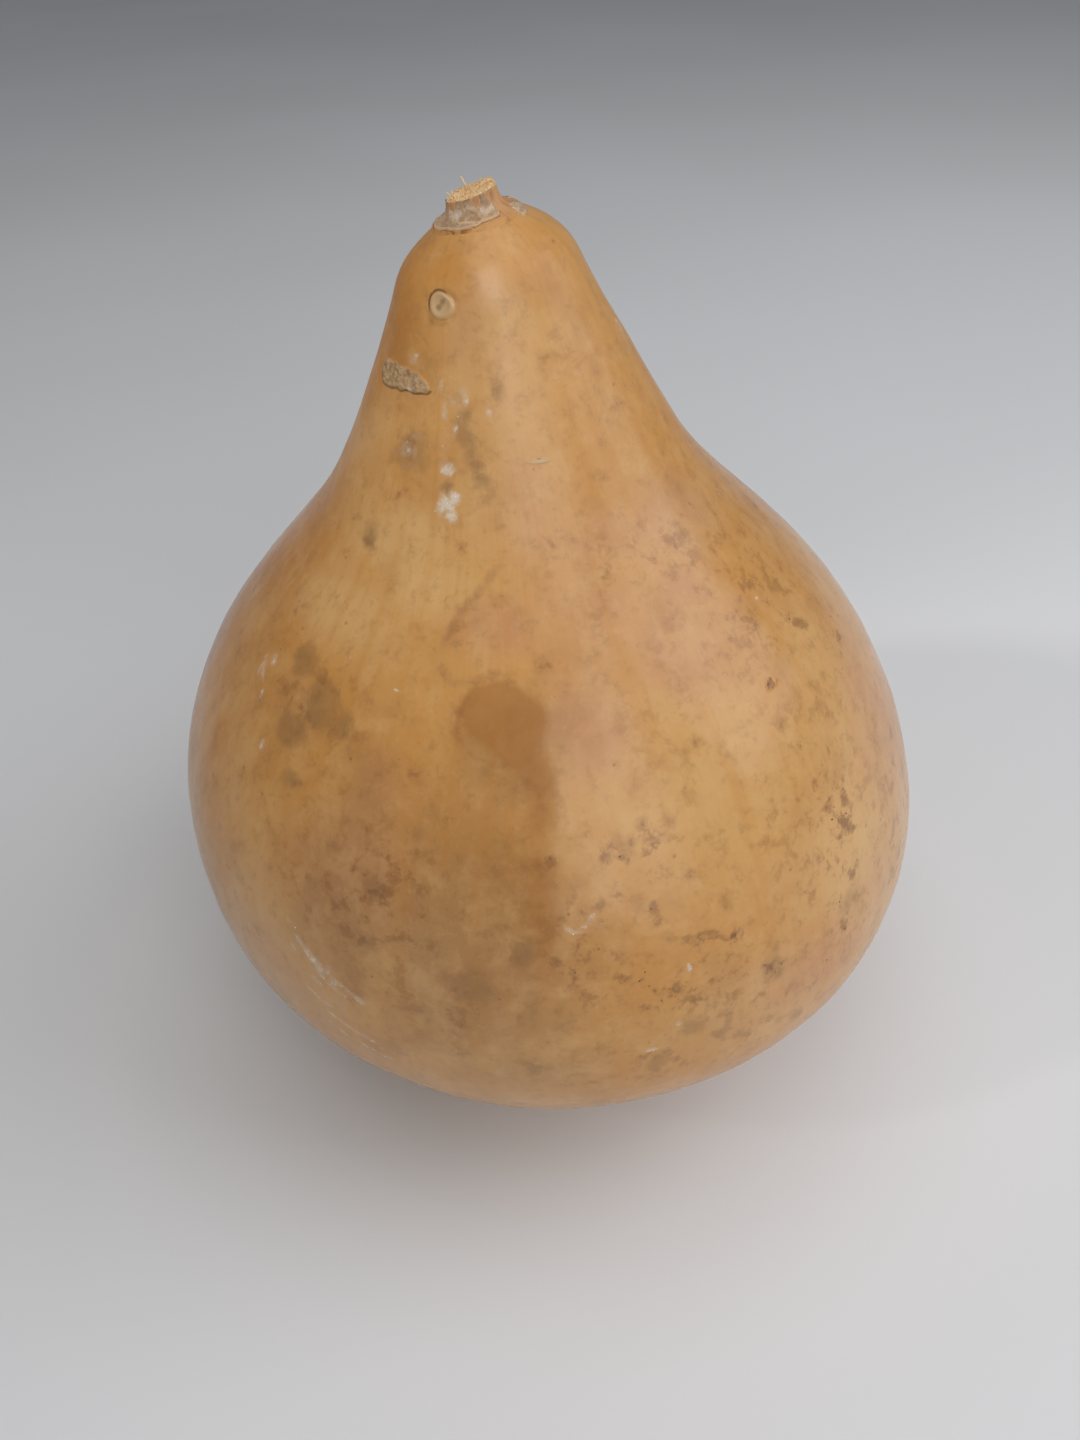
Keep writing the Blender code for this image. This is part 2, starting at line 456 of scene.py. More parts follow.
# The stem's skin, its corky collar and its cut: light parts first
# the last skin tint is painted shadow under the cork collar's lips
BARK, BARK_SCURF, BARK_STREAK, BARK_GAP_SHADOW = (
    colour(190, 140, 90), colour(182, 146, 106), colour(132, 90, 54), colour(134, 78, 36))
COLLAR_FLAKE, COLLAR_LIP, COLLAR_LIGHT, COLLAR_DARK, COLLAR_PORE = (
    colour(208, 194, 178), colour(206, 174, 136), colour(190, 160, 128), colour(160, 130, 100),
    colour(134, 106, 80))
CREAM, CREAM_DARK, CUT_FIBRE, CUT_RIM, VESSEL = (
    colour(236, 206, 160), colour(222, 186, 136), colour(184, 138, 92), colour(176, 128, 80),
    colour(146, 104, 68))
DARK_GRIT = (colour(104, 70, 42), colour(146, 106, 68))
WHITE_GRIT = (colour(196, 184, 168), colour(226, 220, 210))
FLOOR_GREYS = (colour(228, 228, 229), colour(233, 234, 236))

PINPRICK_SPACING = 5.5 * MM
VESSEL_SPACING = 0.9 * MM
SATIN, SATIN_ROUGHER, NECK_DULLER, DULL = 0.17, 0.28, 0.13, 0.8     # roughness of the rind
NECK_DULL_FROM, NECK_DULL_TO = 0.155, 0.200     # heights in metres


def rind_material():
    """Satin rind: broad tints, mottling, painted marks, scars and a fine orange-peel relief."""
    material, tree, shader = new_material("rind", 0.3, 0.42)
    where = object_place(tree)
    middling = cloud(tree, where, 9 * MM, 5.0, 0.6)
    small = cloud(tree, where, 2.6 * MM, 5.0, 0.64, 0.15)
    fine = cloud(tree, where, 0.7 * MM, 3.0, 0.6)
    streaks = cloud(tree, grain_place(tree), 3.2 * MM, 4.0, 0.6)
    lumps = cloud(tree, where, 4.6 * MM, 6.0, 0.66, 0.25)
    wisps = cloud(tree, where, 1.5 * MM, 5.0, 0.66, 0.2)
    powder = cloud(tree, where, 0.8 * MM, 6.0, 0.7)
    peel = cloud(tree, where, 1.5 * MM, 2.0, 0.5)

    skin = mottle(tree, STRAW, (cloud(tree, where, 38 * MM, 2.0), 0.36, 0.64, 1.0, HONEY))
    # The gold and patina fields also hold painted shade on the far left side and the lower front; the pale
    # and rose fields also hold painted light on the upper left shoulder and low on the belly, and a painted
    # highlight down the neck.
    for field, raggedness, high, most, tint in (
            ("gold", 0.5, 0.95, 0.85, GOLD), ("pale", 0.6, 0.95, 0.75, PALE),
            ("rose", 0.5, 0.95, 0.8, ROSE), ("patina_and_shade", 0.3, 0.9, 0.56, PATINA_AND_SHADE)):
        skin = lay_mark(tree, skin, field, middling, raggedness, 0.1, high, most, tint)[0]
    skin = mottle(
        tree, skin, (lumps, 0.56, 0.32, 0.34, PALE), (streaks, 0.42, 0.75, 0.25, GOLD),
        (middling, 0.50, 0.78, 0.42, STAIN), (small, 0.50, 0.74, 0.42, STAIN),
        (wisps, 0.52, 0.74, 0.30, BLOOM), (wisps, 0.46, 0.28, 0.22, PALE))

    # A stain patch with a painted shade band running down from it, left of the window light's shine
    skin, _ = lay_mark(tree, skin, "stain_and_shade", small, 0.6, 0.30, 0.80, 0.62, STAIN_AND_SHADE)
    skin, _ = lay_mark(tree, skin, "tide", small, 2.2, 0.35, 1.15, 0.42, TIDE)
    skin, bloom = lay_mark(tree, skin, "bloom", lumps, 1.7, 0.30, 0.80, 0.36, BLOOM)
    skin, _ = lay_mark(tree, skin, "bloom", small, 2.4, 0.60, 1.25, 0.27, BLOOM)

    islands = rise(tree, calc(tree, "ADD", small, calc(tree, "MULTIPLY", lumps, 0.55)), 0.81, 0.92)
    contour = calc(tree, "ABSOLUTE", calc(tree, "SUBTRACT", lumps, 0.53))
    loops = calc(tree, "MULTIPLY", rise(tree, contour, 0.030, 0.004), rise(tree, wisps, 0.50, 0.64))
    for flecks, most in ((islands, 0.58), (loops, 0.5)):
        sown = calc(tree, "MULTIPLY", flecks, painted(tree, "fleck"))
        skin = blend(tree, calc(tree, "MULTIPLY", sown, most), skin, FLECK)
    skin, _ = lay_mark(tree, skin, "crust", small, 4.2, 0.62, 1.25, 0.45, FLECK)
    skin, crust = lay_mark(tree, skin, "crust", wisps, 4.6, 1.20, 1.8, 0.46, CRUST)

    cells = add(tree, "ShaderNodeTexVoronoi", {"Vector": where, "Scale": 1.0 / PINPRICK_SPACING})
    cell_chance = add(tree, "ShaderNodeSeparateColor", {0: cells.outputs["Color"]}).outputs[0]
    inside_dot = calc(tree, "SUBTRACT", calc(tree, "MULTIPLY", cell_chance, 0.10), cells.outputs["Distance"])
    pinprick = rise(tree, inside_dot, -0.01, 0.03, 0.3)
    skin = blend(tree, pinprick, skin, CRUST)

    skin, _ = lay_mark(tree, skin, "callus", small, 0.3, 0.25, 0.7, 0.9, CALLUS)
    skin, _ = lay_mark(tree, skin, "pit", fine, 0.5, 0.3, 0.8, 0.75, PIT)
    cork_skin = mottle(tree, CORK_HOLLOW, (fine, 0.30, 0.60, 1.0, CORK))
    skin, cork = lay_mark(tree, skin, "cork", fine, 0.6, 0.30, 0.75, 0.88, cork_skin)
    # The edge field holds cracks and dark scar edges, and painted shade under the lower edges of raised
    # scars.
    skin, cracks_and_shade = lay_mark(tree, skin, "edge", fine, 0.6, 0.3, 0.9, 0.8, CRACK_AND_SHADE)
    skin, _ = lay_mark(tree, skin, "chalk", wisps, 2.2, 0.35, 1.3, 0.42, CHALK)
    skin, chalk = lay_mark(tree, skin, "chalk", powder, 3.4, 0.80, 1.35, 0.72, CHALK)

    dull = calc(tree, "MAXIMUM", calc(tree, "MAXIMUM", chalk, cork), calc(tree, "MULTIPLY", crust, 0.8))
    dull = calc(tree, "MAXIMUM", dull, calc(tree, "MULTIPLY", bloom, 0.6))
    height = add(tree, "ShaderNodeSeparateXYZ", {0: where}).outputs["Z"]
    satin = calc(tree, "ADD", mean_of(tree, middling, SATIN, SATIN_ROUGHER),
                 rise(tree, height, NECK_DULL_FROM, NECK_DULL_TO, NECK_DULLER))
    tree.links.new(mean_of(tree, dull, satin, DULL), shader.inputs["Roughness"])
    return finish_look(material, shader, skin, [
        (peel, 0.40), (small, 0.35), (fine, 0.08), (streaks, 0.20), (crust, 0.5), (chalk, 0.35),
        (calc(tree, "MULTIPLY", cork, fine), 2.0), (pinprick, -0.9), (cracks_and_shade, -0.6)], 0.10 * MM)


def stem_material():
    """Brown fibrous skin that turns into the rind's own colour at its foot."""
    material, tree, shader = new_material("stem_skin", 0.62)
    streaks = cloud(tree, grain_place(tree), 0.5 * MM, 4.0, 0.6)
    fine = cloud(tree, object_place(tree), 0.35 * MM, 4.0, 0.6)
    skin = mottle(
        tree, HONEY, (painted(tree, "up_share"), 0.05, 0.55, 1.0, BARK),
        (streaks, 0.45, 0.7, 0.55, BARK_STREAK), (fine, 0.55, 0.75, 0.4, BARK_SCURF))
    # a dark sunken line under the cork lobes' lips: painted shadow
    skin, gap_shadow = lay_mark(tree, skin, "gap_shadow", fine, 1.2, 0.3, 0.9, 0.8, BARK_GAP_SHADOW)
    return finish_look(material, shader, skin, [(streaks, 1.0), (fine, 0.4), (gap_shadow, -0.8)], 0.25 * MM)


def cork_material():
    """Papery grey-brown cork with a paler lip."""
    material, tree, shader = new_material("stem_cork", 0.9, 0.25)
    where = object_place(tree)
    fine = cloud(tree, where, 0.45 * MM, 5.0, 0.65)
    flakes = cloud(tree, where, 1.3 * MM, 5.0, 0.6, 0.6)
    loose = calc(tree, "ADD", flakes, calc(tree, "MULTIPLY", fine, 0.6))
    skin = mottle(
        tree, COLLAR_DARK, (flakes, 0.35, 0.65, 1.0, COLLAR_LIGHT), (fine, 0.54, 0.74, 0.45, COLLAR_PORE),
        (loose, 0.86, 0.98, 0.7, COLLAR_FLAKE), (painted(tree, "lip"), 0.3, 0.9, 0.7, COLLAR_LIP))
    return finish_look(material, shader, skin, [(fine, 1.0), (flakes, 0.8)], 0.3 * MM)


def cut_material():
    """Cream, fibrous end of the cut, with the darker ends of its vessels."""
    material, tree, shader = new_material("stem_cut", 0.85, 0.3)
    where = object_place(tree)
    fine = cloud(tree, where, 0.3 * MM, 4.0, 0.6)
    patchy = cloud(tree, where, 1.4 * MM, 3.0)
    vessels = add(tree, "ShaderNodeTexVoronoi", {"Vector": where, "Scale": 1.0 / VESSEL_SPACING})
    hole = rise(tree, vessels.outputs["Distance"], 0.28, 0.12, 0.2)
    skin = mottle(tree, CREAM, (patchy, 0.35, 0.65, 1.0, CREAM_DARK), (fine, 0.52, 0.72, 0.4, CUT_FIBRE))
    skin = blend(tree, hole, skin, VESSEL)
    skin = mottle(tree, skin, (painted(tree, "rim"), 0.4, 0.9, 0.25, CUT_RIM))
    return finish_look(material, shader, skin, [(fine, 0.8), (hole, -0.8)], 0.25 * MM)


def grain_material(name, tints, roughness):
    """Loose grains in two tints."""
    material, tree, shader = new_material(name, roughness, 0.3)
    fine = cloud(tree, object_place(tree), 0.3 * MM, 3.0)
    skin = mottle(tree, tints[0], (fine, 0.35, 0.65, 1.0, tints[1]))
    return finish_look(material, shader, skin, [(fine, 1.0)], 0.08 * MM)


def floor_material():
    material, tree, shader = new_material("pale_floor", 0.62, 0.35)
    haze = cloud(tree, object_place(tree), 0.35, 2.0)
    grey = mottle(tree, FLOOR_GREYS[0], (haze, 0.3, 0.7, 1.0, FLOOR_GREYS[1]))
    tree.links.new(grey, shader.inputs["Base Color"])
    return material


# ------------------------------------------------------------------ the bare rind
def store(mesh, title, values, kind="FLOAT"):
    """Writes one value for each vertex under a name that materials and groups can read."""
    field = mesh.attributes.get(title) or mesh.attributes.new(title, kind, "POINT")
    key = "vector" if kind == "FLOAT_VECTOR" else "value"
    field.data.foreach_set(key, np.asarray(values, dtype=np.float32).ravel())


def new_mesh(name, points, faces, *looks):
    """A smooth-shaded mesh with its materials."""
    mesh = bpy.data.meshes.new(name)
    mesh.from_pydata(np.asarray(points).tolist(), [], faces)
    mesh.shade_smooth()
    for look in looks:
        mesh.materials.append(look)
    return mesh


def spine_mesh():
    """The middles of the rind's rings, one point each, with the ring's radius and lean."""
    heights, radii = OUTLINE[:, 0], OUTLINE[:, 1]
    mesh = new_mesh("spine", np.stack([axis_offset(heights), np.zeros(RINGS), heights], axis=1), [])
    store(mesh, "ring_radius", radii)
    store(mesh, "ring_tilt", axis_tilt(heights))
    return mesh


def vertex_rows(items, key):
    """A vector read from every vertex, as rows."""
    rows = np.zeros(len(items) * 3)
    items.foreach_get(key, rows)
    return rows.reshape(-1, 3)


def vertex_places(mesh):
    return vertex_rows(mesh.vertices, "co")


def vertex_normals(mesh):
    return vertex_rows(mesh.vertex_normals, "vector")


def make_rind(material):
    return grow("rind", spine_mesh(), rind_tree(), {
        "Segments": SEGMENTS, "Rings": RINGS, "Front Crowding": FRONT_CROWDING,
        "Swell": 2.2 * MM, "Swell Size": 60.0 * MM, "Dimples": 0.5 * MM, "Dimple Size": 11.0 * MM,
        "Seed": 3.7, "Material": material})


# ------------------------------------------------------------------ places on the rind
THROUGH = 40.0                                  # mm behind a mark where the far side starts
THROUGH_FADE = 30.0                             # mm
TRAIL_REACH = 0.09                              # no mark's middle lies farther from its ends, in m


class Surface:
    """Finds places on the rind and the paths and distances along it."""

    def __init__(self, mesh):
        self.corners = [v.co.copy() for v in mesh.vertices]
        self.faces = [tuple(p.vertices) for p in mesh.polygons]
        self.normals = vertex_normals(mesh)
        self.tree = BVHTree.FromPolygons(self.corners, self.faces)

    def place(self, azimuth, height):
        """Point and outward normal at an azimuth in degrees and a height in millimetres."""
        turn = math.radians(azimuth)
        outward = Vector((math.sin(turn), -math.cos(turn), 0.0))
        start = Vector((float(axis_offset(height * MM)), 0.0, height * MM))
        hit, normal, _, _ = self.tree.ray_cast(start, outward)
        if normal.dot(outward) < 0.0:
            normal = -normal
        return np.array(hit), np.array(normal)

    def normals_below(self, points, down):
        """The rind's smooth normals under points that are dropped on it."""
        found = []
        for point in points:
            hit, _, face, _ = self.tree.ray_cast(Vector(point), Vector(down))
            if hit is None:
                found.append(-down)
                continue
            corners = self.faces[face]
            gaps = np.array([(self.corners[c] - hit).length for c in corners])
            weights = 1.0 / (gaps + 1e-6) ** 1.5
            found.append(weights @ self.normals[list(corners)])
        found = np.array(found)
        return found / np.linalg.norm(found, axis=1)[:, None]

    def frame(self, azimuth, height):
        """Place, normal, the direction to the right and the direction up the rind there."""
        spot, normal = self.place(azimuth, height)
        turn = math.radians(azimuth)
        right = np.array([math.cos(turn), math.sin(turn), 0.0])
        right -= normal * right.dot(normal)
        right /= np.linalg.norm(right)
        return spot, normal, right, np.cross(normal, right)

    def beside(self, points, azimuth, height):
        """How far the points lie to the right of and above a place, in mm, and how near they are."""
        spot, normal, right, up = self.frame(azimuth, height)
        away = (points - spot) / MM
        near = np.clip((away @ normal + THROUGH) / THROUGH_FADE, 0.0, 1.0)
        return away @ right, away @ up, near

    def spot(self, points, azimuth, height, width, tall=None, turn=0.0):
        """A soft round or oval mark: 1 in its middle, fading over `width` mm."""
        right, up, near = self.beside(points, azimuth, height)
        tall = width if tall is None else tall
        lean = math.radians(turn)
        along = right * math.cos(lean) + up * math.sin(lean)
        over = up * math.cos(lean) - right * math.sin(lean)
        return np.exp(-(along / width) ** 2 - (over / tall) ** 2) * near

    def trail(self, points, stops, width):
        """A soft line through (azimuth, height) stops: 1 on it, fading over `width` mm."""
        stops = np.array(stops, dtype=float)
        shares = np.linspace(0, len(stops) - 1, 4 * (len(stops) - 1) + 1)
        fine = [np.interp(shares, np.arange(len(stops)), stops[:, i]) for i in range(2)]
        path = np.array([self.place(azimuth, height)[0] for azimuth, height in zip(*fine)])
        nearest = np.full(len(points), 1.0)
        close = np.linalg.norm(points - path.mean(axis=0), axis=1) < TRAIL_REACH
        there = points[close]
        best = np.full(len(there), 1.0)
        for start, end in zip(path, path[1:]):
            run = end - start
            share = np.clip((there - start) @ run / (run @ run), 0.0, 1.0)
            best = np.minimum(best, np.linalg.norm(there - start - share[:, None] * run, axis=1))
        nearest[close] = best
        return np.exp(-(nearest / (width * MM)) ** 2)


# ------------------------------------------------------------------ marks on the rind
# Soft grey-brown mould stains: azimuth, height, size, strength
BLOOMS = (
    (-1.5, 206, 3.0, 0.7), (-17.0, 201.5, 2.8, 0.9), (-15.6, 198.2, 3.0, 0.95), (-14.2, 195.2, 2.6, 0.75),
    (-12.6, 193.2, 2.8, 0.8), (-11.2, 190.4, 3.2, 0.95), (-9.6, 187.6, 2.4, 0.75), (-39, 194, 6, 0.8),
    (-49, 176, 4, 0.9), (-23.3, 188.7, 2.0, 1.0), (-52, 153, 4.5, 1.1), (-43.5, 148, 6, 1.15),
    (-47, 142, 5.5, 1.0), (-37.3, 146.7, 4.0, 1.0), (-44, 134.8, 3.4, 0.9),
    (-35, 143, 3, 0.6), (-33, 126, 4.5, 0.7), (-25.5, 121, 4, 0.75), (-27, 108, 5, 0.7),
    (-12.5, 103.5, 5.5, 0.85), (-5.5, 112.5, 5, 0.7), (-2, 92, 4, 0.7), (-21, 90, 5, 0.5),
    (9.5, 131, 4.5, 0.7), (12.5, 134, 3, 0.7), (10.5, 119, 4, 0.65), (3.5, 126, 3, 0.5),
    (14.5, 86.5, 5, 0.85), (27.5, 92.5, 5.6, 0.72), (42.5, 95, 6, 0.65), (10, 76, 6, 0.7),
    (-6, 80, 4, 0.5), (31, 71, 4, 0.6), (17, 112, 3, 0.4), (62, 118, 6, 0.45), (31, 218, 2, 0.5),
    (70, 226, 2.5, 0.5), (-62, 221, 6, 0.35), (57, 150, 4, 0.35), (-20, 133, 3, 0.45),
)
# Dark broken mould lines: width, then (azimuth, height) stops
VEINS = (
    (2.3, ((51, 126), (49, 121.5), (47.5, 119.5))),
    (2.1, ((46.5, 115), (46.2, 111.5), (43.5, 110.5), (42.0, 108.5), (42.4, 104.5))),
    (2, ((41.5, 100), (40.3, 94.3), (41.0, 90))),
    (2.3, ((44.5, 121), (43.8, 117))),
    (2.6, ((67.8, 140), (65.5, 138.5), (61.8, 137.3))),
    (2.3, ((9.8, 99.8), (12.4, 98.2), (14.8, 98.8))),
    (2.3, ((9.6, 95.0), (11.0, 93.5))),
    (2, ((16.0, 109.5), (19.8, 108.2), (21.8, 106.4))),
    (1.5, ((25.5, 95.5), (28.5, 92.2), (26.9, 90.0))),
    (2, ((11.8, 133.5), (12.8, 130.8), (12.0, 128.2))),
    (2, ((7.2, 129.6), (9.4, 128.8), (10.2, 126.5))),
    (1.7, ((8.5, 121.0), (11.2, 120.4), (12.4, 118.0), (12.6, 115.5))),
    (1.7, ((-1.5, 110.4), (-0.2, 107.8), (1.2, 109.6), (0.6, 106.2))),
    (1.7, ((-1.4, 132.0), (-0.9, 130.4))),
    (1.7, ((6.8, 104.5), (8.2, 102.5), (10.8, 104.0))),
    (1.7, ((58, 152), (60.5, 148.5), (63, 147))),
    (1.7, ((33.5, 88), (36, 84.5), (34.5, 80))),
    (1.7, ((-30, 124.5), (-27.5, 123.2), (-26.8, 120.8))),
    (1.7, ((-17.4, 117.2), (-15.8, 115.6))),
    (2, ((6.0, 80.5), (9.5, 79.4), (12.0, 80.8))),
)
# Small dark crusty spots: azimuth, height, size, strength
CRUSTS = (
    (-22.6, 231.2, 1.1, 1.1), (-25.5, 231.6, 0.8, 0.9), (45.7, 232.8, 1.0, 1.0), (49.0, 232.4, 0.8, 0.9),
    (22.3, 106.4, 1.3, 1.7), (24.6, 103.0, 1.2, 0.9), (25.4, 101.4, 1.1, 0.9), (29.3, 93.4, 1.6, 0.32),
    (27.4, 90.5, 1.4, 0.32), (24.8, 96.5, 1.4, 0.6),
    (43.2, 146.2, 2.4, 1.0), (16.2, 93.0, 1.6, 0.75), (14.4, 86.8, 1.8, 0.8), (10.6, 107, 1.7, 0.75),
    (-24.2, 128.3, 1.2, 0.8), (-16.5, 116.5, 1.3, 0.75), (34.3, 134, 1.3, 0.7), (12.4, 132.6, 1.5, 0.8),
    (9.6, 129.8, 1.4, 0.75), (-1.2, 131.3, 1.3, 0.8), (30.9, 71.4, 1.8, 0.8), (40.5, 69.7, 1.4, 0.7),
    (-27.0, 108, 1.2, 0.65), (46.0, 128.0, 1.3, 0.75), (57, 133, 1.2, 0.7), (71, 143, 1.3, 0.7),
    (31.3, 218.6, 0.9, 0.8), (69.6, 225.9, 1.1, 0.75), (-5.5, 113.5, 1.0, 0.75), (14.0, 139.6, 0.9, 0.7),
)
# Fine reddish crackle on the shoulder
CRACKLE = (
    (0.72, ((19.5, 175.0), (20.7, 177.0), (25.5, 175.6), (29.0, 175.8), (33.5, 171.5), (36.0, 170.8))),
    (0.65, ((31.0, 175.8), (34.5, 174.2))),
    (0.78, ((43.5, 168.8), (45.5, 166.0), (46.8, 165.6))),
    (0.65, ((40.5, 185.4), (42.3, 184.9), (42.0, 183.6))),
    (0.65, ((5.0, 180.5), (7.6, 178.6))),
)
# Edge of an old water stain, and the patch that it runs round; the patch's spots run on down the front as
# painted shade, a dark band along the left edge of the window light's shine
TIDE_LINE = ((-9.5, 174.5), (-12.6, 172.0), (-17.6, 167.8), (-20.6, 163.4),
             (-20.4, 160.0), (-18.2, 157.6), (-13.5, 157.8), (-9.4, 159.0))
STAIN_EDGE = ((-9.4, 159.0), (-13.4, 157.0), (-15.8, 153.5), (-15.6, 149.5), (-12.4, 146.6),
              (-6.5, 145.0), (-2.5, 142.0), (-1.0, 138.0))
STAIN_AND_SHADE_SPOTS = (
    (-13.2, 154.4, 3.8, 0.9), (-9.5, 156.2, 3.8, 0.75), (-5.6, 155.4, 4.2, 0.7), (-2.0, 153.0, 4.0, 0.65),
    (-12.0, 151.4, 3.4, 0.7), (-8.6, 151.0, 4.2, 0.75), (-6.4, 147.4, 4.2, 0.7), (-3.2, 149.0, 4.4, 0.7),
    (-1.6, 143.6, 4.6, 0.75), (-1.8, 137.0, 5.2, 0.7), (-2.2, 128.0, 6.0, 0.6), (-2.5, 118.0, 7.5, 0.55),
    (-2.5, 106.0, 8.0, 0.55))
# White deposits: azimuth, height, width, tall, strength
CHALKS = (
    (-23.4, 192.1, 2.1, 2.0, 1.25), (-25.2, 185.0, 2.0, 2.0, 1.4), (-21.4, 186.8, 2.0, 2.0, 1.4),
    (-23.3, 185.9, 2.4, 2.2, 1.5),
    (-22.0, 183.8, 1.8, 1.6, 1.3), (-24.8, 187.4, 1.4, 1.4, 1.1),
    (-45.8, 210.5, 2.6, 2.2, 0.95), (-15.7, 204.8, 1.1, 1.2, 1.2), (-6.1, 202.7, 1.0, 1.2, 1.2),
    (-16.4, 206.4, 2.0, 1.4, 0.75), (-22.5, 205.5, 2.2, 5.5, 0.62), (-24.2, 198.5, 2.6, 5.0, 0.62),
    (-18.0, 202.0, 2.6, 5.0, 0.55), (-29.0, 201.0, 2.0, 4.0, 0.5), (-14.0, 210.0, 2.8, 2.8, 0.45),
    (-25.5, 202.5, 1.4, 4.0, 0.85),
    (-21.0, 199.0, 1.1, 3.2, 0.85), (-27.5, 206.5, 1.0, 2.0, 0.9), (-44.5, 204.6, 0.9, 0.8, 1.2),
    (-40.5, 194.0, 4.0, 5.0, 0.72), (-52.7, 136.4, 1.1, 2.2, 1.3), (-63.0, 147.0, 1.2, 3.2, 1.1),
    (-59.0, 143.5, 1.0, 2.4, 1.0), (-60.5, 149.5, 1.6, 2.4, 1.0), (15.5, 102.8, 1.1, 1.6, 1.3),
    (13.0, 88.0, 0.9, 1.1, 1.1), (9.0, 81.5, 1.9, 0.9, 1.3), (4.9, 181.6, 0.6, 0.6, 1.5),
    (54.1, 158.0, 0.7, 0.7, 1.3), (-40.9, 157.3, 0.6, 0.7, 1.3), (80.8, 209.8, 1.8, 2.6, 1.0),
    (-35.7, 98.4, 1.5, 1.7, 1.3), (-34.7, 96.6, 1.8, 1.2, 1.2),
    (-36.5, 100.6, 1.0, 1.6, 1.1), (-32.6, 94.6, 1.5, 1.0, 0.95), (-34.0, 97.0, 7.0, 3.5, 0.66),
    (-33.0, 88.0, 8.0, 6.0, 0.52), (-28.0, 76.0, 8.0, 4.0, 0.5),
)
SCUFFS = (
    (1.3, ((-38.0, 102.6), (-37.0, 99.8), (-35.6, 98.2))), (1.7, ((-35.8, 98.2), (-34.0, 97.0))),
    (1.2, ((-33.6, 96.8), (-31.0, 94.6), (-28.2, 92.0))), (1.0, ((-39.4, 99.6), (-38.8, 98.2))),
    (0.9, ((-37.2, 93.6), (-34.8, 91.8))), (1.1, ((-38.0, 88.5), (-34.6, 85.4))),
    (1.0, ((-35.0, 82.5), (-31.0, 79.6), (-28.0, 78.2))), (0.9, ((-31.0, 74.6), (-26.5, 72.4))),
    (0.9, ((-36.0, 78.5), (-33.0, 75.2))), (0.8, ((-40.0, 106.5), (-39.3, 105.6))),
    (0.9, ((0.2, 117.4), (1.2, 115.9), (2.6, 116.4), (4.2, 119.0))),
    (0.55, ((-29.2, 155.0), (-26.0, 154.3))),
    (0.8, ((-64.2, 149.0), (-61.0, 145.5))), (0.7, ((-35.5, 95.6), (-32.6, 92.6), (-30.6, 91.4))),
)
# Callus and cork marks that stand up from the rind are in SCARS, further down.
# Golden areas: azimuth, height, width, tall, strength; the three lists below are written alike. The rows on
# the far left side are painted shade: deeper, darker orange where the rind's side reflects little light.
GOLDS = (
    (-84, 212, 16, 26, 1.0), (-92, 168, 24, 30, 1.0), (-95, 125, 34, 40, 1.0), (-62, 154, 7, 6, 0.6),
    (90, 205, 20, 24, 0.4), (44, 208, 20, 22, 0.35), (34, 225, 12, 9, 0.4), (-30, 226, 14, 9, 0.6),
    (-62, 104, 22, 30, 0.6), (-5, 100, 30, 22, 0.25), (150, 180, 50, 50, 0.5), (-150, 110, 50, 40, 0.4),
    (-66, 128, 7, 10, 0.8), (-48, 226, 12, 10, 0.5), (-88, 128, 22, 44, 0.8),
)
# Paler areas, partly painted light: the rows on the upper left shoulder are painted light, the row high on
# the neck is a painted highlight, and the rows low on the belly are partly painted light from the floor.
PALES = (
    (-13, 216, 6, 14, 0.6), (-38, 178, 16, 9, 1.0), (50, 92, 18, 20, 0.9),
    (-48, 163, 20, 11, 0.9), (-26, 171, 15, 9, 0.9), (-36, 180, 16, 8, 0.6), (48, 98, 20, 22, 0.8),
    (58, 138, 16, 24, 0.6), (22, 134, 14, 13, 0.5), (-14, 188, 12, 10, 0.5), (14, 205, 12, 16, 0.3),
    (30, 150, 16, 10, 0.35), (22, 100, 16, 12, 0.35), (-30, 132, 16, 8, 0.4), (44, 168, 16, 8, 0.2),
    (52, 174, 20, 9, 0.6), (66, 100, 22, 26, 0.8), (30, 76, 30, 12, 0.7), (-46, 92, 18, 20, 0.7),
    (26, 86, 30, 14, 0.8),
    (160, 120, 40, 30, 0.6), (-130, 190, 30, 20, 0.5),
)
# Pinker areas: the row high on the neck is a painted highlight, and the rows low on the belly are partly
# painted light from the floor.
ROSES = (
    (-8, 166, 11, 8, 0.85), (50, 92, 16, 16, 0.6),
    (2, 185, 14, 16, 0.6), (12, 165, 18, 18, 0.65), (30, 158, 20, 16, 0.7), (8, 150, 12, 14, 0.8),
    (-12, 218, 6, 12, 0.6), (37, 166, 10, 9, 0.75), (34, 84, 32, 16, 0.75), (70, 118, 26, 34, 0.8),
    (48, 176, 20, 12, 0.7), (22, 178, 14, 10, 0.6), (-30, 122, 22, 18, 0.7), (-28, 138, 12, 12, 0.5),
    (-44, 88, 20, 18, 0.6),
    (130, 150, 40, 40, 0.5), (-120, 170, 30, 30, 0.4),
)
# Where the rind is sown with small brown flecks and thin mould rings
FLECKS = (
    (18, 96, 24, 10, 0.7), (44, 112, 16, 26, 0.9), (4, 114, 10, 22, 0.75), (-26, 117, 20, 16, 0.75),
    (14, 80, 34, 9, 0.55), (12, 128, 9, 8, 0.8), (52, 158, 18, 14, 0.7), (38, 172, 20, 8, 0.6),
    (62, 95, 20, 22, 0.6), (26, 92, 10, 8, 0.6), (-46, 148, 12, 12, 0.6), (-16, 98, 16, 10, 0.6),
    (140, 110, 50, 40, 0.7), (-120, 130, 40, 34, 0.6), (200, 80, 40, 40, 0.8), (110, 180, 26, 20, 0.5),
    (0, 30, 90, 22, 0.6),
)
